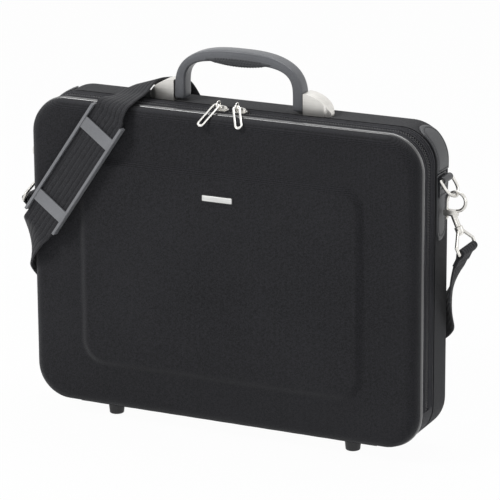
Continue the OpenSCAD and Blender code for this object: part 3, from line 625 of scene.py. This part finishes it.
def lay_floor():
    """Pale floor that melts into the white background."""
    material, t, shader = tree("floor")
    n = Net(t)
    shader.inputs["Roughness"].default_value = 0.8
    n.put(shader.inputs["Base Color"],
          n.ramp(n.noise(60.0, 3), [(0.3, (0.85, 0.85, 0.85)), (0.7, (0.88, 0.88, 0.88))]))
    glow = n.node("ShaderNodeEmission", Strength=1.0)
    share = n.math("MULTIPLY", seen_directly(n), 0.97)
    n.put(t.nodes["Material Output"].inputs["Surface"], mix_shaders(n, share, shader, glow))
    plane = bpy.data.meshes.new("floor")
    plane.from_pydata([(-6, -6, 0), (6, -6, 0), (6, 6, 0), (-6, 6, 0)], [], [(0, 1, 2, 3)])
    plane.materials.append(material)
    floor = put_in("floor", plane)


set_camera()
lamp("key light", (-1.3, -1.5, 1.9), (0, 0, 0.2), (0.9, 0.8), 34)
lamp("top light", (0.1, 0.5, 1.8), (0, 0, 0.25), (1.4, 0.7), 11)
lamp("right light", (2.0, 0.2, 0.8), (0.1, 0, 0.2), (0.5, 1.2), 4)
lamp("low light", (1.1, -2.3, 0.16), (0.1, 0, 0.17), (0.5, 0.26), 4)
set_world()
lay_floor()
bpy.context.scene.view_settings.view_transform = "Standard"


# --------------------------------------------------------------------- strap
WIDTH, THICK, RIBS = 36.0, 1.8, 7
TOP, FOOT, BACK = 330.5, 14.0, 79.8  # top edge, foot height, the strap's depth behind
LANE, WEB, CHAIN, HANDLE_C = -112.0, -19.9, 45.0, 41.0
TILT, ROLL = math.radians(34), math.radians(6)
TAIL = (230.976, 197.325)
right_join = ((192, BACK, FOOT + 106), (-0.65, 0, 0.76))
left_join = ((-226, BACK, FOOT + 87), (0, -0.04, -1))
back_path = [
    right_join, ((160, BACK, FOOT + 81), (-0.5, 0, 0.87)), ((110, BACK, FOOT + 65), (0, 0, 1)),
    ((55, BACK, FOOT + 80), (0.47, 0, 0.88)), ((8, BACK, FOOT + 121), (0.73, 0, 0.68)),
    ((-32, BACK, TOP - 140), (0.86, 0, 0.5)), ((-58, BACK, TOP - 80), (0.94, 0, 0.35)),
    ((LANE + 38, BACK, TOP - 28), (0.95, 0, 0.3))]
top_path = [
    ((LANE + 29, 79.3, TOP - 6), (0.96, -0.05, 0.26)),
    ((LANE + 21, 72.3, TOP + 7), (0.95, -0.1, 0.3)),
    ((LANE + 10.5, HANDLE_C + 14, TOP + 11), (0.94, -0.15, 0.31)),
    ((LANE + 3, HANDLE_C, TOP + 9.4), (0.943, -0.05, 0.33)),
    ((LANE + 1.5, HANDLE_C - 19, TOP + 4.6), (0.96, -0.2, 0.16)),
    ((LANE + 1, 5, TOP + 3.4), (0.94, -0.32, 0.06)),
    ((LANE, WEB + 10, TOP + 2.4), (0.91, -0.38, -0.14)),
    ((LANE - 1.8, WEB + 2.4, TOP - 1.6), (0.87, -0.24, -0.43))]
PAD_WAY = (math.cos(TILT) * math.cos(ROLL), -math.sin(ROLL), -math.sin(TILT) * math.cos(ROLL))
pad_path = [((LANE - 42.5 - s * math.sin(TILT), WEB, TOP - 67 - s * math.cos(TILT)), PAD_WAY)
            for s in (-72, -60, -35, 0, 35, 60, 72, 79)]
side_path = [
    ((-204.5, WEB + 3.9, TOP - 140.5), (0.72, -0.45, -0.53)),
    ((-210.6, -8.4, TOP - 152.5), (0.5, -0.68, -0.53)),
    ((-214, 4, TOP - 166.5), (0.15, -0.83, -0.53)),
    ((-213.5, 20, FOOT + 135), (0, -0.85, -0.53)), ((-214, 42, FOOT + 118), (0, -0.8, -0.6)),
    ((-216.5, BACK - 14, FOOT + 102), (0, -0.62, -0.79)),
    ((-221, BACK - 3.5, FOOT + 92), (0, -0.34, -0.94)), left_join]
right_tail = [
    ((TAIL[0], CHAIN, TAIL[1]), (0, 1, 0)),
    ((TAIL[0] - 4, CHAIN + 1, TAIL[1] - 12), (-0.05, 0.98, 0.15)),
    ((219.5, CHAIN + 8, FOOT + 154), (-0.2, 0.9, 0.38)),
    ((213.5, CHAIN + 19, FOOT + 136), (-0.35, 0.75, 0.55)),
    ((206.5, CHAIN + 30, FOOT + 120), (-0.5, 0.4, 0.77)),
    ((192.6, BACK, FOOT + 106.5), (-0.65, 0, 0.76))]
left_tail = [
    ((-226.8, BACK, FOOT + 87), (0, -0.04, -1)),
    ((-232, BACK - 3, FOOT + 89), (0, -0.34, -0.94)),
    ((-233.5, BACK - 12, FOOT + 98), (0, -0.62, -0.79)),
    ((-230, CHAIN + 13, FOOT + 117), (0, -0.85, -0.52)),
    ((-226.5, CHAIN + 5, FOOT + 146), (0, -0.97, -0.24)),
    ((-TAIL[0] + 4, CHAIN + 1, TAIL[1] - 12), (0, -1, -0.05)),
    ((-TAIL[0], CHAIN, TAIL[1]), (0, -1, 0))]


def route(path):
    """Middle points, width directions and directions of run along a path."""
    gap = 2.2
    a = np.array([np.concatenate(p) for p in path], float)
    n = len(a)
    spots = []
    for i in range(n - 1):
        reach = np.linalg.norm(a[i + 1, :3] - a[i, :3])
        k = max(int(reach / gap), 3)
        spots += [i + j / k for j in range(k)]
    spots.append(n - 1.0)

    def value(s):
        i = min(int(s), n - 2)
        t = s - i
        p0, p1, p2, p3 = (a[max(0, min(n - 1, j))] for j in (i - 1, i, i + 1, i + 2))
        return 0.5 * (2 * p1 + (p2 - p0) * t + (2 * p0 - 5 * p1 + 4 * p2 - p3) * t * t
                      + (3 * p1 - p0 - 3 * p2 + p3) * t ** 3)
    v = np.array([value(s) for s in spots])
    run = np.array([value(min(s + 0.05, n - 1)) - value(max(s - 0.05, 0)) for s in spots])
    return v[:, :3], unit(v[:, 3:]), unit(run[:, :3])


def rib_height(u):
    """Half thickness of the webbing across its width, with narrow valleys."""
    half, pitch = WIDTH / 2, WIDTH / RIBS
    off = np.abs((u + half) / pitch - np.round((u + half) / pitch)) * pitch
    valley = np.exp(-(off / 0.7) ** 2)
    edge = np.sqrt(np.clip(1 - (np.clip(np.abs(u) - half + 0.9, 0, 0.9) / 0.9) ** 2, 0.02, 1))
    inner = np.where(np.abs(u) > half - 1.2, 0, 1)
    return (THICK / 2 + 0.2 - 0.62 * valley * inner) * edge


def places_across():
    """Places across the webbing, closer together at its edges and at each valley."""
    half = WIDTH / 2
    valleys = [np.array([-0.9, -0.4, 0.4, 0.9]) + WIDTH * k / RIBS - half
               for k in range(1, RIBS)]
    edges = [0.3 - half, 0.7 - half, half - 0.7, half - 0.3]
    return np.unique(np.concatenate([np.linspace(-half, half, 29), *valleys, edges]))


ACROSS = places_across()


def ribbon(name, way, body, gone):
    """Ribbed webbing along a route, with a map in metres for its weave."""
    middle, over, run = way
    out = unit(np.cross(run, over))
    h = rib_height(ACROSS)
    ring = len(ACROSS) * 2
    u = np.concatenate([ACROSS, ACROSS[::-1]])
    t = np.concatenate([h, -h[::-1]])
    points = (middle[:, None] + over[:, None] * u[None, :, None]
              + out[:, None] * t[None, :, None])
    o = piece(name, points.reshape(-1, 3), tube_faces(len(middle), ring), WEBBING,
              slot="webbing", gone=[gone])
    length = lengths(middle)
    beside = 40  # the underside's place in the map, next to the upper side
    across = np.concatenate([ACROSS, ACROSS[::-1] + beside])
    mesh = o.data
    layer = mesh.uv_layers.new(name="UVMap")
    index = np.empty(len(mesh.loops), int)
    mesh.loops.foreach_get("vertex_index", index)
    places = np.stack([across[index % ring] / 1000, length[index // ring] / 1000], 1)
    layer.data.foreach_set("uv", places.astype(np.float32).ravel())
    if body:
        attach(o, body)
    return o, float(length[-1]) / 1000


main_way = route(back_path + top_path + pad_path + side_path)
strap, strap_length = ribbon("strap_webbing_ribbed", main_way, "body", "strap_webbing")
tuple(metres([(0, BACK, 0)])[0])
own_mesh(strap)


def tail(side, path):
    """One tail of the strap, in three pieces in a row that ride on no body."""
    way = route(path if side == "right" else path[::-1])
    n = len(way[0])
    cuts = [0, n // 5, n * 2 // 5, n - 1]
    for i, name in enumerate(("upper", "middle", "lower")):
        first, last = cuts[i], cuts[i + 1]
        o, length = ribbon(f"strap_tail_{side}_{name}", [a[first:last + 1] for a in way], None,
                           f"strap_tail_{side}")
        a, b = metres([way[0][first], way[0][last]])
        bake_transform(o)


# -------------------------------------------------------------------- shells
SHELL_INSET, SHELL_WALL, LINING_INSET, LINING_WALL = 1.0, 2.0, 3.3, 1.2
FRONT_EDGE, FRONT_FACE, REAR_EDGE, REAR_FACE = -0.3, -12.0, 33.8, 69.8
LINING_DEPTH = 2.3  # from a shell's face in to its lining's


def panel_relief(x, z):
    """The raised panel of the front, on a face that isn't quite flat."""
    d = rounded_distance(x, z - (FOOT + 154), 154, 109, 26)
    rise = -3.5 * smooth_step((-d + 1.0) / 9.5)
    return rise + 0.12 * np.sin(x / 61.0) * np.cos(z / 47.0)


def quilt(x, z):
    """Stitched diamonds with soft middles, 0 on the seams and 1 between them."""
    a, b = (x + z) / 42.0, (x - z) / 42.0
    return np.abs(np.sin(math.pi * a) * np.sin(math.pi * b)) ** 0.5


def back_relief(x, z):
    """Soft crown of the back."""
    d = rounded_distance(x, z - MID_Z, 168, 118, 34)
    return 0.9 * smooth_step((-d) / 9) - 0.9


tray_skin("shell_front", SHELL_INSET, FRONT_EDGE, FRONT_FACE, 11.5, SHELL_WALL, FABRIC, "lid",
          panel_relief, ["front_shell"])
tray_skin("lining_front", LINING_INSET, -0.9, FRONT_FACE + LINING_DEPTH, 8.8, LINING_WALL,
          LINING, "lid", lambda x, z: 0.45 - 0.45 * quilt(x, z), ["front_lining"])
tray_skin("lining_rear", LINING_INSET, 34.3, REAR_FACE - LINING_DEPTH, 4.7, LINING_WALL,
          LINING, "body", lambda x, z: -0.7 + 0.7 * quilt(x, z), ["rear_lining"])
tray_skin("shell_back", SHELL_INSET, REAR_EDGE, REAR_FACE, 7.0, SHELL_WALL, FABRIC, "body",
          back_relief, ["rear_shell"])
sweep("shell_back_edge", [(1.9, 31.8), (3.0, 31.8), (3.0, 34.0), (1.9, 34.0)], TAPE, "body",
      RIM, slot="shell_fabric")

BEAD = 2.5  # radius of the piping
bead = [(BEAD - BEAD * math.cos(a), BEAD - BEAD * math.sin(a))
        for a in np.linspace(-2.5, 2.5, 19)]
sweep("piping_bead", bead + [(8.5, 0.7), (8.5, 4.3)], PIPING, "lid", RIM,
      gone=["front_piping"], slot="piping", sharp=70)

# The zip's three sides, right side up, over the top and left side down, and the
# stretch below them
rim_base, rim_out = RIM
zip_count = 2 * len(ZS) + len(XS) + 2 * (ARC_STEPS - 1)
zip_base = rim_base[:zip_count].copy()
zip_base[[0, -1], 1] += 0.3
zip_line = zip_base, rim_out[:zip_count]
low_index = np.concatenate([np.arange(zip_count - 1, len(rim_base)), [0]])
low_line = rim_base[low_index], rim_out[low_index]


def ribs(first, last, count, high, low, samples=7):
    """Outer side of ribbed tape as (inset, depth) points."""
    rows = []
    for k in range(count * samples + 1):
        t = k / samples
        h = abs(math.sin(math.pi * t)) ** 0.55 if k % samples else 0.0
        rows.append((low - (low - high) * h, first + (last - first) * t / count))
    return rows


sweep("zip_tape_front", ribs(5.3, 14.4, 2, 0.6, 2.55) + [(2.8, 14.4), (2.8, 5.3)], TAPE,
      "lid", zip_line, False, gone=["front_zip_tape"], slot="tape", sharp=50)
sweep("zip_tape_rear", ribs(19.8, 31.5, 3, 0.6, 2.55) + [(2.8, 31.5), (2.8, 19.8)], TAPE,
      "body", zip_line, False, gone=["rear_zip_tape"], slot="tape", sharp=50)
sweep("gusset_low", [(1.3, 5.4)] + ribs(6.2, 30.6, 1, 1.05, 1.3, 10)
      + [(1.3, 31.5), (3.2, 31.5), (3.2, 5.4)], TAPE, "body", low_line, False,
      gone=["bottom_gusset"], slot="tape", sharp=50)


def seam(line, inset, c):
    """Points along a line of stations and the directions out of it."""
    out = line[1]
    return at_inset(line, inset, c), np.stack([out[:, 0], out[:, 0] * 0, out[:, 1]], 1)


TOOTH_PITCH = 2.7


def teeth(name, body, c, shift, gone):
    """Zip teeth at a depth, moved along the zip by a shift."""
    line, up = seam(zip_line, 1.9, c)
    places, ways, at = spread(line, TOOTH_PITCH)
    normal = sample(at, lengths(line), up)
    across = np.broadcast_to(np.array([0.0, 1.0, 0.0]), places.shape)
    p, f = beads(places + ways * shift, across, normal, 3.3, 1.15, 1.5, 8)
    piece(name, p, f, TEETH, body, "coil", [gone])


teeth("zip_teeth_front", "lid", 16.0, 0, "front_zip_coil")
teeth("zip_teeth_rear", "body", 18.2, TOOTH_PITCH / 2, "rear_zip_coil")
stitches("seam_zip_rear", [seam(zip_line, 1.35, 31.1)], "body", 3.2, 2.1, 0.7)
stitches("seam_gusset", [seam(low_line, 1.2, c) for c in (7.2, 29.8)], "body", 3.2, 2.1, 0.7)
stitches("seam_zip_front", [seam(zip_line, 1.7, 9.85)], "lid", 3.2, 2.1, 0.6)

tail("right", right_tail)
tail("left", left_tail)

# ------------------------------------------------------- patches on the sides
ARC_START, ARC_LENGTH = MID_Z + HALF_Z, RADIUS * math.pi / 2
PATCH_FRONT, PATCH_BACK, PATCH_OUT = 34.3, 62.8, -0.8
TONGUE = 2 * (CHAIN - PATCH_FRONT)


def side_point(s, c, height, way):
    """Point on the case's side at s from the corner's start, s below 0 down the side."""
    inset = PATCH_OUT + 1.5 - height
    if s < 0:
        return way * (HALF_X + RADIUS - inset), c, ARC_START + s
    a = min(s / RADIUS, math.pi / 2)
    reach = RADIUS - inset
    rest = max(s - ARC_LENGTH, 0)
    return (way * (HALF_X + reach * math.cos(a) - rest), c, ARC_START + reach * math.sin(a))


GROOVE = 2.45  # from a patch's edge in to its sewn groove


def leather(name, low, high, half, middle, round_low, round_high, way, gone):
    """Embossed patch with a rolled edge, a sewn groove and round or square ends."""
    inward = [0, 0.35, 0.9, 1.7, 2.2, 2.7, 3.2, 4.2, 6.0, 8.6]
    lift = [0.35, 1.1, 1.45, 1.5, 1.22, 1.22, 1.5, 1.55, 1.62, 1.66]
    count = 96

    def outline(d):
        spots, reach, top, bottom = [], half - d, high - d, low + d
        for k in range(count):
            t = k / count * 4
            if t < 1:
                spots.append((bottom + (top - bottom) * t, reach))
            elif t < 2:
                a = (t - 1) * math.pi
                spots.append((top + (reach * math.sin(a) if round_high else 0),
                              reach * math.cos(a)))
            elif t < 3:
                spots.append((top - (top - bottom) * (t - 2), -reach))
            else:
                a = (t - 3) * math.pi
                spots.append((bottom - (reach * math.sin(a) if round_low else 0),
                              -reach * math.cos(a)))
        return spots
    rings = [[side_point(s, middle + c, 0.05, way) for s, c in outline(0.1)]]
    for d, h in zip(inward, lift):
        rings.append([side_point(s, middle + c, h, way) for s, c in outline(min(d, half - 0.6))])
    faces = grid(len(rings), count, False, True)
    quarter, last = count // 4, (len(rings) - 1) * count
    for k in range(quarter):
        strip = (k, k + 1, 3 * quarter - k - 1, 3 * quarter - k)
        for start, turn in ((last, 1), (0, -1)):
            faces.append([start + i for i in strip][::turn])
    for start in (last, 0):
        faces.append([start + (quarter + k) % count for k in range(quarter + 1)])
        faces.append([start + (3 * quarter + k) % count for k in range(quarter + 1)])
    piece(name, np.array(rings), faces, PATCH, "body", "patch", gone, sharp=60)
    line, up = [], []
    for s, c in outline(GROOVE):
        a = max(0, min(s / RADIUS, math.pi / 2))
        line.append(side_point(s, middle + c, 1.5, way))
        up.append((way * math.cos(a), 0, math.sin(a)))
    stitches(name + "_stitch", [(line + line[:1], up + up[:1])], "body", 2.6, 1.8, 0.6)


for side, way in (("left", -1), ("right", 1)):
    leather(f"patch_corner_{side}", -8.5, 30.0, (PATCH_BACK - PATCH_FRONT) / 2,
            (PATCH_FRONT + PATCH_BACK) / 2, False, True, way, [f"corner_patch_{side}"])
    leather(f"patch_tongue_{side}", 217 + TONGUE / 2 - ARC_START, -8.9, TONGUE / 2, CHAIN,
            True, False, way, [f"side_patch_{side}"])

# Leather loops that hold the rings: round the bar and down on the tongue
RING, WRAP = (214.7, 279.5), 3.6
profile = [(RING[0] + WRAP * math.cos(a), RING[1] + WRAP * math.sin(a))
           for a in np.radians(np.linspace(-100, 170, 22))]
profile += [(211.0, 277.0), (211.1, 268.0), (211.1, 262.0), (212.4, 261.6), (212.75, 262.4),
            (212.8, 268.0), (212.9, 273.5)]
LOOP_CENTRE = np.array([213.6, 274.0])
LOOP_STEPS = ((-10.3, 0.35), (-10.0, 0.1), (-9.0, 0.0), (9.0, 0.0), (10.0, 0.1), (10.3, 0.35))
for side, way in (("left", -1), ("right", 1)):
    spots = []
    for c, shrink in LOOP_STEPS:
        for point in profile:
            v = np.array(point) - LOOP_CENTRE
            x, z = LOOP_CENTRE + v * (1 - shrink / max(np.linalg.norm(v), 0.1))
            spots.append((way * x, CHAIN + c, z))
    piece(f"ring_loop_{side}", spots, tube_faces(len(LOOP_STEPS), len(profile)), PATCH, "body",
          "patch", [f"side_loop_{side}"], sharp=45)
    rows = [([(way * 212.95, CHAIN - 8.2, z), (way * 212.95, CHAIN + 8.2, z)], (way, 0, 0))
            for z in (264.2, 270.2)]
    stitches(f"ring_loop_{side}_stitch", rows, "body", 2.4, 1.7, 0.6)

# -------------------------------------------------------------------- handle
PIVOT, GRIP_SIDES, GRIP_DEPTH = 340.5, 40, 8.5
OUTER_ARCH, INNER_ARCH = (69.5, 46.0, 2.7), (58.0, 33.0, 4.0)  # half width, rise, power
LEG_X, LEG_HALF = (OUTER_ARCH[0] + INNER_ARCH[0]) / 2, (OUTER_ARCH[0] - INNER_ARCH[0]) / 2
LEG_STEPS = ((-8.5, 0.72), (-8.2, 0.86), (-7.2, 0.96), (-5.5, 1.0), (-3.0, 1.0), (-1.0, 1.0))


def arch(w, h, power, t):
    """Point of the arch from one foot (0) over the crown (0.5) to the other (1)."""
    a = math.pi * t
    return np.array([w * squared(math.cos(a), 2 / power), h * max(math.sin(a), 0) ** (2 / power)])


def leg(way, steps):
    """Straight sections below an end of the arch, at (height, scale) steps."""
    return [(np.array([way * LEG_X, z]), np.array([way * 1.0, 0.0]), LEG_HALF * scale, scale)
            for z, scale in steps]


def grip_sections():
    """Middle point, direction across the band, half band width and scale at each step."""
    rows = leg(1, LEG_STEPS)
    steps = 72
    for k in range(steps + 1):
        t = 0.5 - 0.5 * math.cos(math.pi * k / steps)
        t = 0.5 * (t + k / steps)
        outer, inner = arch(*OUTER_ARCH, t), arch(*INNER_ARCH, t)
        wide = np.linalg.norm(outer - inner)
        rows.append(((outer + inner) / 2, (outer - inner) / wide, wide / 2, 1.0))
    return rows + leg(-1, LEG_STEPS[::-1])


def grip_ring(half, depth):
    """Squarish section: (across, depth) with a fine groove near the outer side."""
    ring, power = [], 5.0
    for k in range(GRIP_SIDES):
        a = 2 * math.pi * k / GRIP_SIDES
        x, y = squared(math.cos(a), 2 / power), squared(math.sin(a), 2 / power)
        pinch = 1 - 0.05 * math.exp(-((x - 0.62) / 0.09) ** 2)
        ring.append((x * half, y * depth * pinch))
    return ring


spots, sections = [], grip_sections()
for centre, across_way, half, scale in sections:
    for u, v in grip_ring(half, GRIP_DEPTH * scale):
        x, z = centre + across_way * u
        spots.append((x, HANDLE_C + v, PIVOT + z))
piece("handle_grip_moulded", spots, tube_faces(len(sections), GRIP_SIDES), GRIP, "handle",
      "grey_plastic", ["handle_grip"], sharp=75)

# The insert is a lens under the arch, with studs on its faces and its lower side.
INSERT_HALF, INSERT_Z, ABOVE, BELOW, INSERT_DEPTH = 36.0, 375.6, 4.6, -5.6, 8.95
INSERT_SIDES = 28


def taper(x):
    return max(1 - (x / INSERT_HALF) ** 2, 0)


def lens(x, reach):
    """Height of the insert's upper or lower side at x."""
    return INSERT_Z + reach * taper(x) ** 0.8


xs = np.concatenate([[-35.6, -35.0], np.linspace(-33.5, 33.5, 46), [35.0, 35.6]])
spots = []
for x in xs:
    high, low = lens(x, ABOVE), lens(x, BELOW)
    depth = INSERT_DEPTH * (0.82 if abs(x) > 35.2 else 1)
    for k in range(INSERT_SIDES):
        a = 2 * math.pi * k / INSERT_SIDES
        spots.append((x, HANDLE_C + depth * squared(math.cos(a), 0.42),
                      (high + low) / 2 + (high - low) / 2 * squared(math.sin(a), 0.42)))
piece("handle_insert_soft", spots, tube_faces(len(xs), INSERT_SIDES), STUDS, "handle",
      "insert_rubber", ["handle_insert"], sharp=60)
studs = []
for x in np.arange(-24, 24.1, 3.0):
    for row in (-1, 0, 1):
        z = 375.1 + row * 2.5 * taper(x) ** 0.5
        for face in (-1, 1):
            studs.append(((x + (0 if row else 1.5), HANDLE_C + face * INSERT_DEPTH, z),
                          (1, 0, 0), (0, face, 0)))
    for c in (-5, -2.5, 0, 2.5, 5):
        studs.append(((x, HANDLE_C + c, lens(x, BELOW)), (1, 0, 0), (0, 0, -1)))
places, ways, ups = (np.array([s[i] for s in studs], float) for i in range(3))
p, f = beads(places, ways, ups, 1.3, 1.3, 0.9, 8)
piece("handle_insert_studs", p, f, STUDS, "handle", "insert_rubber")

# --------------------------------------------------- metal and plastic pieces
for side in ("left", "right"):
    soften(f"handle_cap_{side}", CAPS, 2.4, 5, 40)
    soften(f"zip_slider_{side}", NICKEL, 0.25, 2, 30)
    soften(f"zip_pull_{side}", SHINE, 0.3, 3, 30)
    soften(f"snap_hook_{side}", NICKEL, 0.35, 2, 40)
    soften(f"hook_gate_{side}", NICKEL, 0.3, 2, 40)
    soften(f"strap_eye_{side}", NICKEL, 0.45, 2, 50)
    paint(SHINE, f"slider_link_{side}")
    paint(NICKEL, f"d_ring_{side}")
soften("badge", PLATE, 0.35, 3, 30)
soften("feet", RUBBER, 0.8, 3, 40)
soften("strap_adjuster", BLACK, 0.7, 3, 30)
soften("zip_stops", STEEL, 0.3, 2, 30)
paint(STEEL, "handle_pins", "handle_plate", "handle_screws", "feet_screws")

# Domed back of each slider, behind the wire link
DOME, DOME_SIDES = ((0.0, 1.0), (0.5, 1.0), (1.6, 0.97), (2.7, 0.86), (3.4, 0.66), (3.8, 0.35)), 32
for side, way in (("left", -1), ("right", 1)):
    spots = []
    for h, k in DOME:
        for a in 2 * math.pi * np.arange(DOME_SIDES) / DOME_SIDES:
            spots.append((way * 10 + squared(math.cos(a), 0.7) * 5.4 * k,
                          18.3 + squared(math.sin(a), 0.7) * 3.1 * k, 330.55 + h))
    piece(f"slider_back_{side}", spots, tube_faces(len(DOME), DOME_SIDES), NICKEL,
          f"slider_{side}", "zip_metal", sharp=70)

pad = soften("shoulder_pad", GREY, 0.7, 3, 30, "shoulder_pad_moulded")
tuple(metres([(0, BACK, 0)])[0])
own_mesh(pad)

# Thin dark rim that the badge sits in
BADGE_X, BADGE_Z, BADGE_CORNER, RIM_SIDES = 16.0, 2.75, 0.8, 48
RIM_STEPS = ((0.9, 0.0), (0.95, 0.55), (0.5, 0.75), (0.05, 0.55), (0.0, 0.0))
rim = []
for d, h in RIM_STEPS:
    for k in range(RIM_SIDES):
        a = 2 * math.pi * k / RIM_SIDES
        x = math.copysign(BADGE_X - BADGE_CORNER, math.cos(a)) + (BADGE_CORNER + d) * math.cos(a)
        z = math.copysign(BADGE_Z - BADGE_CORNER, math.sin(a)) + (BADGE_CORNER + d) * math.sin(a)
        rim.append((x, -15.5 - h, 249.0 + z))
piece("badge_rim", rim, grid(len(RIM_STEPS), RIM_SIDES, False, True), BLACK, "lid", "piping",
      sharp=50)

# ------------------------------------------------------- sewn loops at the eyes
SWIVEL, EYE_DROP, EYE_TILT, END_BEND = (223.327, 243.108), 35.0, 24.0, 49.5


def turn(x, z, degrees):
    a = math.radians(degrees)
    return x * math.cos(a) + z * math.sin(a), -x * math.sin(a) + z * math.cos(a)


def eye_place(side, x, c, z):
    """From the end loop's own axes (bar at the origin, tab down) to the case's."""
    x, z = turn(x, z, END_BEND)
    x, z = turn(x, z - EYE_DROP, -EYE_TILT)
    way = 1 if side == "right" else -1
    return way * (SWIVEL[0] + x), CHAIN + c, SWIVEL[1] + z


# The tab's half, from its end up to the bar, then round the bar and back
TAB = [(0.95, -15.0), (0.95, -12.0), (0.95, -9.0), (1.1, -6.5), (1.9, -4.2), (2.7, -2.2)]
LOOP_RADIUS = 2.95
for side in ("left", "right"):
    line = TAB + [(LOOP_RADIUS * math.cos(a), LOOP_RADIUS * math.sin(a))
                  for a in np.linspace(-0.3, math.pi + 0.3, 18)] + [(-x, z) for x, z in TAB[::-1]]
    middle = np.array([eye_place(side, x, 0, z) for x, z in line])
    over = np.tile(np.array([0.0, 1.0, 0.0]), (len(line), 1))
    run_way = unit(np.gradient(middle, axis=0))
    loop, length = ribbon(f"strap_end_loop_{side}_sewn", (middle, over, run_way), f"eye_{side}",
                          f"strap_end_loop_{side}")
    rows = []
    for face in (-1, 1):
        x = face * 2.0
        normal = np.array(eye_place(side, 1, 0, 0)) - np.array(eye_place(side, 0, 0, 0))
        corner = [(-14, -13.6), (14, -13.6), (14, -8.2), (-14, -8.2), (-14, -13.6), (14, -8.2)]
        for (c0, z0), (c1, z1) in zip(corner[:-1], corner[1:]):
            rows.append(([eye_place(side, x, c0, z0), eye_place(side, x, c1, z1)], normal * face))
    stitches(f"strap_end_loop_{side}_stitch", rows, f"eye_{side}", 2.8, 2.0, 0.6)

# ------------------------------------------------------------ hinge and inside
xs = np.linspace(-163, 163, 60)
cs = np.linspace(0.5, 10.7, 16)
spots = [(x, c, 13.55 - 0.35 * face + 0.06 * math.sin(x * 0.9))
         for face in (0, 1) for c in cs for x in xs]
hinge = piece("hinge_strip", spots, two_sided(len(cs), len(xs)), TAPE, None, "tape",
              ["hinge_tape"], sharp=60)
tuple(metres([(0, 6.8, 13.4)])[0])
tuple(metres([(0, 3.8, 13.4)])[0])
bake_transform(hinge)


def cushion(low, high):
    """Padded block: crowned faces, drawn-in sides and rounded edges."""
    rounding, crown = 2.2, 0.8
    low, high = np.array(low, float), np.array(high, float)
    size, middle = (high - low) / 2, (high + low) / 2
    b = bmesh.new()
    bmesh.ops.create_cube(b, size=2.0)
    bmesh.ops.subdivide_edges(b, edges=b.edges, cuts=9, use_grid_fill=True)
    for v in b.verts:
        q = np.array(v.co)
        r = np.minimum(rounding / size, 0.9)
        inner = np.clip(q, -(1 - r), 1 - r)
        off = (q - inner) * size
        n = np.linalg.norm(off)
        if n > 1e-6:
            off = off / n * min(n, rounding)
        p = inner * size + off
        for k in range(3):
            others = [j for j in range(3) if j != k]
            swell = (1 - q[others[0]] ** 2) * (1 - q[others[1]] ** 2)
            if abs(q[k]) > 0.999:
                p[k] -= math.copysign(crown * (1 - swell), q[k])
        v.co = Vector(p + middle)
    points = [tuple(v.co) for v in b.verts]
    faces = [[v.index for v in f.verts] for f in b.faces]
    b.free()
    return points, faces


blocks = []
for way in (-1, 1):
    x0, x1 = sorted((way * 55.0, way * 110.0))
    blocks.append(cushion((x0, 33.8, 18.8), (x1, 62.8, 28.8)))
    x0, x1 = sorted((way * 195.2, way * 205.2))
    blocks.append(cushion((x0, 33.8, MID_Z - 60), (x1, 62.8, MID_Z - 5)))
points, faces = join(blocks)
foam = piece("cradle_foam", points, faces, FOAM, "body", "foam", ["cradle_pads"], sharp=50)


def belt():
    """Straight belt over the rear lining, up to the CAD belt's upper end."""
    low, high, steps = 18.8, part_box("retaining_belt")[1][2] * 1000, 60
    line = np.array([(0, 34.5, low + (high - low) * t) for t in np.linspace(0, 1, steps)])
    way = (line, np.tile([1.0, 0, 0], (steps, 1)), np.tile([0.0, 0, 1.0], (steps, 1)))
    o, length = ribbon("retaining_belt_ribbed", way, "body", "retaining_belt")


belt()

POCKET_X, POCKET_Z, POCKET_MIDDLE, POCKET_CORNER = 149, 94.5, 147.25, 12


def pocket_distance(x, z):
    return rounded_distance(x, z - POCKET_MIDDLE, POCKET_X, POCKET_Z, POCKET_CORNER)


def pocket():
    """Flat pocket sheet with a puffed middle and a gathered upper edge."""
    nx, nz = 90, 60
    px = np.linspace(-POCKET_X, POCKET_X, nx)
    pz = np.linspace(52.5, 241.5, nz)
    top, under = [], []
    for z in pz:
        for x in px:
            d = pocket_distance(x, z)
            puff = 0.9 * smooth_step(-d / 30)
            gather = 0.25 * math.sin(x / 2.2) * smooth_step((z - 225) / 12)
            c = -8.2 + 1.45 + puff * 0.5 + gather * (1 if -d > 1 else 0)
            top.append((x, c, z))
            under.append((x, -8.15, z))
    points = top + under
    inside = np.array([pocket_distance(x, z) <= 0.1 for z in pz for x in px]).reshape(nz, nx)
    faces, half = [], nx * nz
    keep = {(j, i) for j in range(nz - 1) for i in range(nx - 1)
            if inside[j:j + 2, i:i + 2].all()}
    for j, i in keep:
        a = j * nx + i
        quad = [a, a + 1, a + 1 + nx, a + nx]
        faces.append(quad)
        faces.append([k + half for k in quad][::-1])
        for dj, di, e in ((-1, 0, (a, a + 1)), (1, 0, (a + nx + 1, a + nx)),
                          (0, -1, (a + nx, a)), (0, 1, (a + 1, a + nx + 1))):
            if (j + dj, i + di) not in keep:
                faces.append([e[1], e[0], e[0] + half, e[1] + half])
    used = sorted({k for f in faces for k in f})
    place = {k: i for i, k in enumerate(used)}
    points = [points[k] for k in used]
    faces = [[place[k] for k in f] for f in faces]
    o = piece("lid_pocket_sewn", points, faces, POCKET, "lid", "lining", ["lid_pocket"],
              sharp=50)
    line, inset, corner = [], 4.0, 9.0
    hx, hz = POCKET_X - inset - corner, POCKET_Z - inset - corner
    for k in range(97):
        a = 2 * math.pi * k / 96
        x = math.copysign(hx, math.cos(a)) + corner * math.cos(a)
        z = math.copysign(hz, math.sin(a)) + corner * math.sin(a)
        line.append((x, -6.55, POCKET_MIDDLE + z))
    stitches("lid_pocket_stitch", [(line, (0, 1, 0))], "lid", 3.4, 2.3, 0.6)


pocket()
